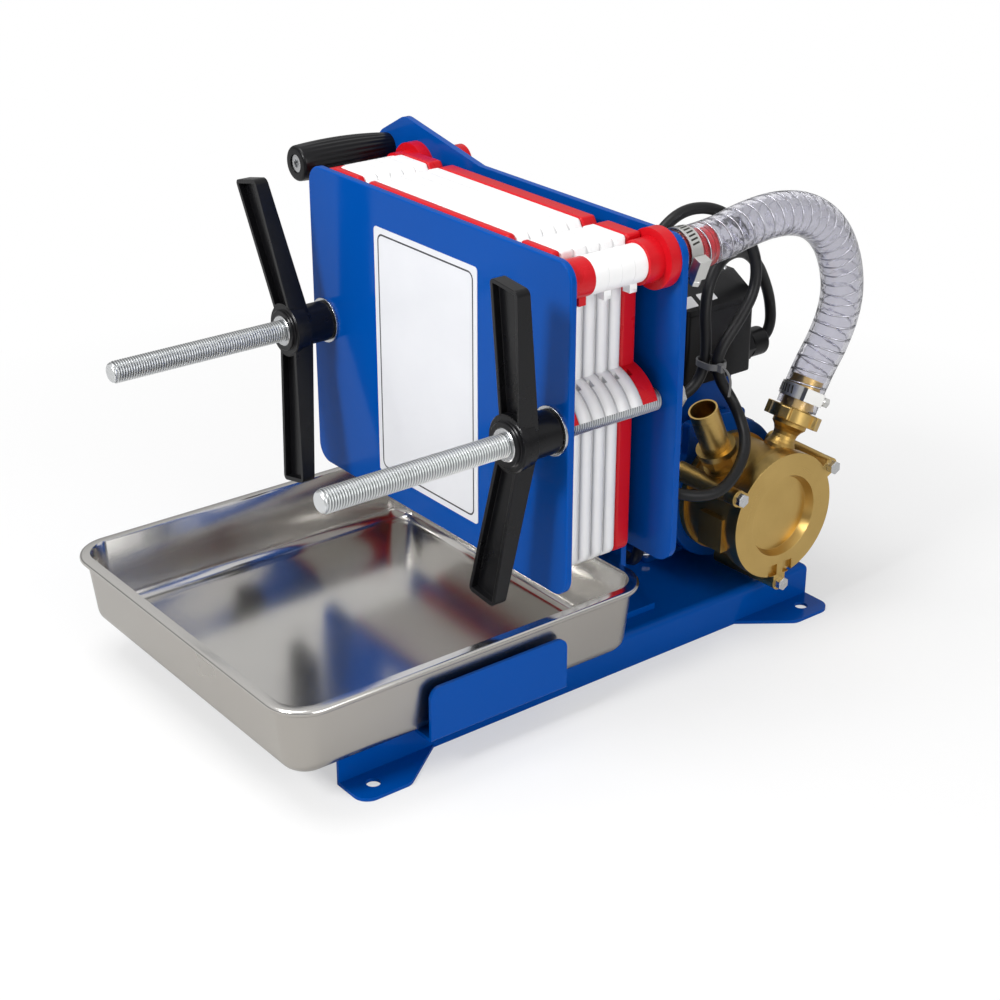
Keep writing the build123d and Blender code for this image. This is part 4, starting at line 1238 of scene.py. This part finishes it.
@dataclass
class PowerCable:
    """Mains lead from the terminal box, gathered once and led down under the pump to its plug."""

    diameter: float = 8.5 * MM
    length: float = 900.4 * MM
    route_mm: tuple[Point, ...] = (
        (48, 217.6, 187), (48, 229.5, 187), (48, 236, 197.5), (48, 234.5, 213),
        (49.5, 228, 229), (53, 213, 252), (58.5, 190.5, 268), (65.5, 163.5, 269.5), (71.5, 145.5, 256.5),
        (75.5, 138.3, 236), (77.5, 139.3, 217), (79, 138.2, 199), (79, 131.5, 184), (78, 116, 175.5),
        (74, 97, 177), (70, 83, 195), (67.5, 77.5, 219), (66, 78, 244), (65, 83, 270), (65, 97, 297),
        (67, 119, 313), (71, 146, 311.5), (77, 167, 297), (83, 180, 273), (86.5, 178, 248),
        (88.3, 161, 228), (89, 144.5, 213), (88.7, 139.3, 199.5), (89.5, 144.5, 185),
        (94.5, 151.5, 171.5), (106, 150.5, 159.5), (121.5, 142, 149), (133.5, 124.5, 137.5),
        (139, 102, 127), (134.5, 82, 127), (126, 69, 131), (113, 63, 127), (105, 62, 110),
        (99, 64, 88), (89, 69, 66), (72, 79, 52), (46, 90, 47), (22, 90, 47),
    )

    def build(self) -> None:
        route = in_metres(self.route_mm)
        curve = nurbs_curve("power_cable_sheath", route, self.diameter / 2)
        cable = bpy.data.objects.new("power_cable_sheath", curve)
        bpy.context.scene.collection.objects.link(cable)
        SHEATH.dress(cable)
        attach(cable, "root")
        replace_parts(cable, "power_cable")


@dataclass
class WormClamp:
    """Slots punched in a clamp's band, and the hollow hexagon at the end of its screw; the slots and the
    hexagon's hollow are near-black marks of painted shade.
    """

    name: str
    middle: Point
    axis: Point
    screw_angle: float
    band_r: float = 16.6 * MM
    slot_size: Point = (0.2 * MM, 1.3 * MM, 6.2 * MM)
    slot_count: int = 34
    slot_slant: float = 10.0
    bare_slots: int = 4
    screw_rise: float = 3.05 * MM
    screw_end: float = 12.5 * MM
    head_r: float = 4.0 * MM
    head_height: float = 4.0 * MM
    socket_r: float = 2.3 * MM

    def place(self) -> Matrix:
        """Frame with X from the hose to the screw and Z along the hose."""
        along, side, angle = Vector(self.axis), Vector((1, 0, 0)), math.radians(self.screw_angle)
        out = side * math.cos(angle) + along.cross(side) * math.sin(angle)
        return Matrix.Translation(self.middle) @ Matrix((out, along.cross(out), along)).transposed().to_4x4()

    def slots(self) -> bpy.types.Object:
        """The row of slots round the band, but for the stretch under the screw, as thin slabs of painted
        shade.
        """
        tree = GeometryTree(f"{self.name}_row", {"Band Radius": self.band_r})
        row = tree.node("GeometryNodeMeshCircle",
                        inputs={"Vertices": self.slot_count, "Radius": tree.size("Band Radius")})
        # Painted shade: each slot is a thin near-black slab on the band, standing for the shade inside the
        # slot.
        slot = tree.node("GeometryNodeMeshCube", inputs={"Size": self.slot_size})
        slanted = tree.node("GeometryNodeTransform",
                            inputs={"Geometry": slot, "Rotation": (math.radians(self.slot_slant), 0, 0)})
        index = tree.node("GeometryNodeInputIndex")
        free = (index > self.bare_slots) * (index < self.slot_count - self.bare_slots)
        turn = tree.vector(0.0, 0.0, index * (2 * math.pi / self.slot_count))
        placed = tree.node("GeometryNodeInstanceOnPoints", inputs={
            "Points": row, "Selection": free, "Instance": slanted, "Rotation": turn})
        mesh = tree.run(f"{self.name}_slots", placed, SLOT_SHADE)
        mesh.transform(self.place())
        return new_piece(f"{self.name}_slots", mesh, SLOT_SHADE)

    def build(self) -> None:
        """Add the slots and the screw's head, with a near-black disc of painted shade for its socket."""
        self.slots()
        lift = Matrix.Translation((self.band_r + self.screw_rise, 0, 0))
        place = self.place() @ lift @ Matrix.Rotation(-math.pi / 2, 4, "X")
        start, end = self.screw_end - self.head_height, self.screw_end + 0.4 * MM
        bevel = 0.5 * MM
        head = [(start, self.head_r - bevel), (start + bevel, self.head_r), (end - bevel, self.head_r),
                (end, self.head_r - bevel)]
        new_piece(f"{self.name}_head", turned_mesh(f"{self.name}_head", head, 6, place), STRIP)
        # Painted shade: a thin near-black disc on the head stands for the shade inside its socket.
        hollow = [(end - bevel, self.socket_r), (end + 0.05 * MM, self.socket_r)]
        new_piece(f"{self.name}_socket", turned_mesh(f"{self.name}_socket", hollow, 24, place), HOLLOW_SHADE)


@dataclass
class BoltRow:
    """Upright hexagon bolts on washers, all of one size."""

    name: str
    places: tuple[Point, ...]
    across: float
    height: float
    washer_r: float
    washer_height: float = 1.2 * MM

    def build(self) -> None:
        """Put one bolt and washer on each place."""
        points = bpy.data.meshes.new(f"{self.name}_points")
        points.from_pydata(self.places, [], [])
        tree = GeometryTree(f"{self.name}_tree", {
            "Corner": self.across / math.sqrt(3), "Height": self.height, "Washer": self.washer_r,
            "Sheet": self.washer_height}, True)
        plate = tree.node("GeometryNodeMeshCylinder", inputs={
            "Vertices": 32, "Radius": tree.size("Washer"), "Depth": tree.size("Sheet")})
        bottom = tree.node("GeometryNodeTransform", inputs={
            "Geometry": plate, "Translation": tree.vector(0.0, 0.0, tree.size("Sheet") * 0.5)})
        bodies = [bottom]
        for share, taper, rise in ((0.82, 1.0, 0.0), (0.18, 0.86, 0.82)):
            prism = tree.node("GeometryNodeMeshCone", inputs={
                "Vertices": 6, "Radius Top": tree.size("Corner") * taper,
                "Radius Bottom": tree.size("Corner"), "Depth": tree.size("Height") * share})
            lift = tree.size("Sheet") + tree.size("Height") * rise
            bodies.append(tree.node("GeometryNodeTransform", inputs={
                "Geometry": prism, "Translation": tree.vector(0.0, 0.0, lift)}))
        placed = tree.node("GeometryNodeInstanceOnPoints",
                           inputs={"Points": tree.geometry(), "Instance": tree.joined(bodies)})
        mesh = tree.run(self.name, placed, ZINC, points)
        shade(mesh)
        new_piece(self.name, mesh, ZINC)


@dataclass
class HandleCollar:
    """Stepped front ring of a wing handle's boss, with the steel insert that holds its thread."""

    side: Side
    face_y: float = -84.3 * MM
    ring: tuple[Pair, ...] = (
        (-2.0, 19.6), (1.8, 19.6), (2.6, 18.8), (2.6, 15.8), (3.2, 15.2), (4.4, 15.2), (5.0, 14.6),
        (5.0, 11.6))
    insert: tuple[Pair, ...] = ((0.0, 11.8), (4.6, 11.8), (5.6, 10.8))

    def build(self) -> None:
        """Turn both round the rod, so that they ride with the handle."""
        side = self.side.name.lower()
        low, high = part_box(f"threaded_rod_{side}")
        place = Matrix.Translation(((low.x + high.x) / 2, self.face_y, (low.z + high.z) / 2))
        place = place @ Matrix.Rotation(math.pi / 2, 4, "X")
        for kind, profile_mm, finish in (("ring", self.ring, BLACK), ("insert", self.insert, ZINC)):
            profile = [(height * MM, radius * MM) for height, radius in profile_mm]
            name = f"collar_{kind}_{side}"
            new_piece(name, turned_mesh(name, profile, 64, place), finish, f"handle_{side}")


@dataclass
class CarryGrip:
    """Moulded grip with shallow ribs along it and a pocket for its bolt."""

    ribs: int = 24
    rib_depth: float = 0.5 * MM
    front_r: float = 13.2 * MM
    belly_r: float = 14.25 * MM
    rear_r: float = 10.5 * MM
    belly_at: float = 0.3
    pocket_r: float = 7.0 * MM
    pocket_depth: float = 6.0 * MM
    bore_r: float = 4.1 * MM
    nose: float = 2.5 * MM
    steps: int = 24
    points: int = 192
    centre: Pair = (0.0, 0.0)

    def radius(self, share: float) -> float:
        """Radius at a share of the length, on one smooth curve through front, belly and rear."""
        at = self.belly_at
        return (self.front_r * (share - at) * (share - 1) / at
                + self.belly_r * share * (share - 1) / (at * (at - 1))
                + self.rear_r * share * (share - at) / (1 - at))

    def ring(self, y: float, radius: float, ribbed: float) -> list[Point]:
        """Points round the grip, drawn in between the ribs."""
        ring = []
        for step in range(self.points):
            angle = 2 * math.pi * step / self.points
            reach = radius - ribbed * self.rib_depth * (0.5 - 0.5 * math.cos(self.ribs * angle))
            ring.append((self.centre[0] + reach * math.cos(angle), y,
                         self.centre[1] + reach * math.sin(angle)))
        return ring

    def build(self) -> None:
        """Skin the grip and put it in place of the CAD one."""
        low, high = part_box("carry_grip")
        self.centre = ((low.x + high.x) / 2, (low.z + high.z) / 2)
        front, length = low.y, high.y - low.y
        bottom = front + self.pocket_depth
        rings = [self.ring(y, radius, 0) for y, radius in
                 ((bottom, self.bore_r), (bottom, self.pocket_r), (front, self.pocket_r))]
        start = self.radius(self.nose / length)
        for y, radius in arc((front + self.nose, start - self.nose), self.nose, 180, 90, 6):
            rings.append(self.ring(y, radius, 0))
        for step in range(1, self.steps):
            share = self.nose / length + (1 - self.nose / length) * step / self.steps
            ends = min(1.0, 4 * step / self.steps, 6 * (self.steps - step) / self.steps)
            rings.append(self.ring(front + length * share, self.radius(share), ends))
        rings += [self.ring(high.y, self.rear_r, 0), self.ring(high.y, self.bore_r, 0)]
        mesh = mesh_from_rings("ribbed_grip", rings, True)
        shade(mesh, 50)
        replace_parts(new_piece("ribbed_grip", mesh, BLACK), "carry_grip")


@dataclass
class FanCover:
    """Moulded fan cover with a round grille in its end."""

    corner: float = 10.0 * MM
    opening_r: float = 44.0 * MM
    recess: float = 5.0 * MM
    bar_r: float = 1.2 * MM
    ring_pitch: float = 6.0 * MM
    hub_r: float = 9.0 * MM
    spokes: int = 8

    def build(self) -> None:
        """Turn the shell, and add the grille of rings and spokes over its recess."""
        low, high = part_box("fan_cover")
        middle = (low + high) / 2
        outer = (high.y - low.y) / 2
        facing = Matrix(((0, 0, -1), (0, 1, 0), (1, 0, 0))).to_4x4()
        place = Matrix.Translation((low.x, middle.y, middle.z)) @ facing
        depth = high.x - low.x
        corner = [(height, radius) for height, radius in
                  arc((-self.corner, outer - self.corner), self.corner, 90, 0, 8)]
        shell = [(-depth, outer)] + corner
        shell += [(0.0, self.opening_r), (-self.recess, self.opening_r), (-self.recess, 1 * MM)]
        mesh = turned_mesh("fan_cover_shell", shell, 96, place)
        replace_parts(new_piece("fan_cover_shell", mesh, BLACK), "fan_cover")
        tree = GeometryTree("fan_grille",
                            {"Bar": self.bar_r, "Opening": self.opening_r, "Hub": self.hub_r})
        bars = []
        for step in range(int((self.opening_r - self.hub_r) / self.ring_pitch) + 1):
            reach = tree.size("Hub") + step * self.ring_pitch
            circle = tree.node("GeometryNodeCurvePrimitiveCircle",
                               inputs={"Resolution": 72, "Radius": reach})
            bars.append(tree.wire(circle, "Bar"))
        spoke = tree.node("GeometryNodeCurvePrimitiveLine", inputs={
            "Start": tree.vector(tree.size("Hub"), 0.0, 0.0),
            "End": tree.vector(tree.size("Opening"), 0.0, 0.0)})
        hub = tree.node("GeometryNodeMeshLine", {"mode": "OFFSET"},
                        {"Count": self.spokes, "Offset": (0, 0, 0)})
        index = tree.node("GeometryNodeInputIndex")
        bars.append(tree.node("GeometryNodeInstanceOnPoints", inputs={
            "Points": hub, "Instance": tree.wire(spoke, "Bar", Fill_Caps=True),
            "Rotation": tree.vector(0.0, 0.0, index * (2 * math.pi / self.spokes))}))
        mesh = tree.run("fan_grille", tree.joined(bars), BLACK)
        mesh.transform(place @ Matrix.Translation((0, 0, -self.bar_r)))
        mesh.shade_smooth()
        new_piece("fan_grille", mesh, BLACK)


@dataclass
class BoxTrim:
    """Blank stickers on the sloping side of the terminal box's lid, and its four screws."""

    slope_foot: Pair = (62.0 * MM, 232.0 * MM)
    slope_head: Pair = (38.0 * MM, 246.0 * MM)
    stickers: tuple[tuple[float, float, float, float], ...] = (
        (0.3, 142.0 * MM, 5.0 * MM, 6.5 * MM), (0.34, 161.0 * MM, 4.2 * MM, 8.0 * MM))
    thickness: float = 0.15 * MM
    screw_r: float = 3.0 * MM
    screw_height: float = 1.6 * MM
    screw_places: tuple[Pair, ...] = (
        (-24 * MM, 141 * MM), (-24 * MM, 197 * MM), (33 * MM, 141 * MM), (33 * MM, 197 * MM))

    def build(self) -> None:
        """Lay the stickers on the slope and the screws on the lid."""
        foot, head = (Vector((x, 0, z)) for x, z in (self.slope_foot, self.slope_head))
        rise = (head - foot).normalized()
        across = Vector((0, 1, 0))
        up = across.cross(rise) * -1
        turn = Matrix((rise, across * -1, up)).transposed().to_4x4()
        for number, (share, y, half_up, half_across) in enumerate(self.stickers, 1):
            spot = foot.lerp(head, share) + across * y
            rings = [rounded_rectangle((half_up, half_across), 1 * MM, (0, 0), height, 4)
                     for height in (-0.02 * MM, self.thickness)]
            mesh = mesh_from_rings(f"box_sticker_{number}", rings)
            mesh.transform(Matrix.Translation(spot) @ turn)
            new_piece(f"box_sticker_{number}", mesh, PAPER)
        for number, (x, y) in enumerate(self.screw_places, 1):
            place = Matrix.Translation((x, y, self.slope_head[1]))
            dome = [(0.0, self.screw_r), (0.6 * self.screw_height, self.screw_r * 0.93),
                    (self.screw_height, self.screw_r * 0.6)]
            new_piece(f"lid_screw_{number}", turned_mesh(f"lid_screw_{number}", dome, 24, place), ZINC)


@dataclass
class TieEnd:
    """Head and cut-off tail of the cable tie."""

    head_half: Pair = (2.6 * MM, 2.2 * MM)
    head_low: float = 196.2 * MM
    head_high: float = 201.9 * MM
    head_centre: Pair = (96.0 * MM, 137.5 * MM)
    tail: tuple[Point, ...] = (
        (0.0975, 0.1372, 0.2005), (0.1015, 0.1382, 0.1985), (0.1040, 0.1395, 0.1930),
        (0.1042, 0.1400, 0.1860), (0.1030, 0.1398, 0.1785))
    strip_half: Pair = (0.4 * MM, 0.9 * MM)

    def build(self) -> None:
        """Skin the head and the strip that bends down from it."""
        rings = [rounded_rectangle(self.head_half, 0.8 * MM, self.head_centre, z, 4)
                 for z in (self.head_low, self.head_high)]
        mesh = mesh_from_rings("tie_head", rings)
        shade(mesh)
        new_piece("tie_head", mesh, TIE)
        line = nurbs_curve("tie_line", self.tail)
        path = [Vector(point) for point in centreline(line)]
        bpy.data.curves.remove(line)
        wide = Vector((0.35, 1.0, 0.0)).normalized()
        rings = []
        for index, point in enumerate(path):
            ahead = path[min(index + 1, len(path) - 1)] - path[max(index - 1, 0)]
            thin = ahead.normalized().cross(wide).normalized()
            half_thin, half_wide = self.strip_half
            rings.append([tuple(point + thin * half_thin * a + wide * half_wide * b)
                          for a, b in ((-1, -1), (1, -1), (1, 1), (-1, 1))])
        mesh = mesh_from_rings("tie_tail", rings)
        shade(mesh)
        new_piece("tie_tail", mesh, TIE)


@dataclass
class Frame:
    """The CAD frame and the finish of each node that keeps its own shape."""

    frame: dict
    rounded: dict[str, tuple[Finish, float]] = field(default_factory=lambda: {
        "base_channel": (PAINT, 0.5 * MM), "rear_plate": (PAINT, 0.6 * MM), "press_plate": (PAINT, 0.5 * MM),
        "end_plate_front": (RED, 1.2 * MM), "end_plate_rear": (RED, 1.2 * MM),
        "wing_handle_left": (BLACK, 1.0 * MM), "wing_handle_right": (BLACK, 1.0 * MM),
        "washer_left": (ZINC, 0.3 * MM), "washer_right": (ZINC, 0.3 * MM),
        "rod_nut_left": (ZINC, 0.5 * MM), "rod_nut_right": (ZINC, 0.5 * MM),
        "motor_shield": (MOTOR_PAINT, 1.5 * MM), "motor_foot": (MOTOR_PAINT, 0.8 * MM),
        "terminal_box": (BLACK, 1.0 * MM), "terminal_box_lid": (BLACK, 1.0 * MM),
        "hose_clamp_lower": (STRIP, 0.4 * MM), "hose_clamp_upper": (STRIP, 0.4 * MM),
        "pump_cover": (FACED, 1.0 * MM), "pump_body": (CAST, 1.2 * MM),
        "discharge_nut": (DISCHARGE_BRASS, 0.8 * MM), "cover_bolts": (ZINC, 0.3 * MM),
    })
    plain: dict[str, Finish] = field(default_factory=lambda: {
        "motor_body": MOTOR_PAINT, "cable_gland": BLACK, "cable_tie": TIE,
        "grip_bolt": ZINC, "suction_tail": SUCTION_BRASS,
        "discharge_neck": CAST, "discharge_tail": DISCHARGE_BRASS, "outlet_tail": RED, "inlet_tail": RED,
        "power_plug": SHEATH,
    })

    def build(self) -> None:
        """Dress the nodes, rounding the edges of those that show them."""
        for number in range(1, 6):
            self.rounded[f"filter_plate_{number}"] = (WHITE, 2.2 * MM)
        for node, (finish, width) in self.rounded.items():
            rounded_copy(self.frame, node, f"{node}_form", finish, width)
        for node, finish in self.plain.items():
            piece = self.frame["nodes"][node]
            piece.data.materials.clear()
            piece.data.materials.append(finish.material())
        self.label()

    def label(self) -> None:
        """Dress the label plate with a bordered film."""
        low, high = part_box("label_plate")
        film = LabelFilm(
            "satin_label", Slot.FILM,
            centre=((low.x + high.x) / 2, (low.z + high.z) / 2),
            half=((high.x - low.x) / 2, (high.z - low.z) / 2),
        )
        plate = self.frame["nodes"]["label_plate"]
        plate.data.materials.clear()
        plate.data.materials.append(film.material())


def main() -> None:
    """Load the frame and build every sub-assembly in order."""
    logging.basicConfig(level=logging.INFO, format="%(name)s: %(message)s")
    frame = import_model()
    Viewpoint().build()
    Studio().build()
    discharge = Vector(DISCHARGE_FOOT) + Vector(DISCHARGE_AXIS) * 85.5 * MM
    parts = [
        PowerCable(), ClearHose(), Frame(frame), DripTray(), *(ThreadedRod(side) for side in Side),
        WormClamp("lower_clamp", tuple(discharge), DISCHARGE_AXIS, -26.0),
        WormClamp("upper_clamp", (134.5 * MM, 56.5 * MM, 312.5 * MM), (0.0, 1.0, 0.0), 21.0),
        BoltRow("leg_bolts", tuple((side.value * 80 * MM, 61.6 * MM, 33 * MM) for side in Side),
                13 * MM, 5.3 * MM, 8 * MM),
        BoltRow("motor_bolts", tuple((x * MM, y * MM, 32 * MM) for x in (-49, 39) for y in (123, 205)),
                10 * MM, 4 * MM, 6 * MM),
        *(HandleCollar(side) for side in Side), CarryGrip(), FanCover(), BoxTrim(), TieEnd(),
    ]
    for part in parts:
        part.build()
        log.info("built %s", type(part).__name__)


if __name__ == "__main__":
    main()
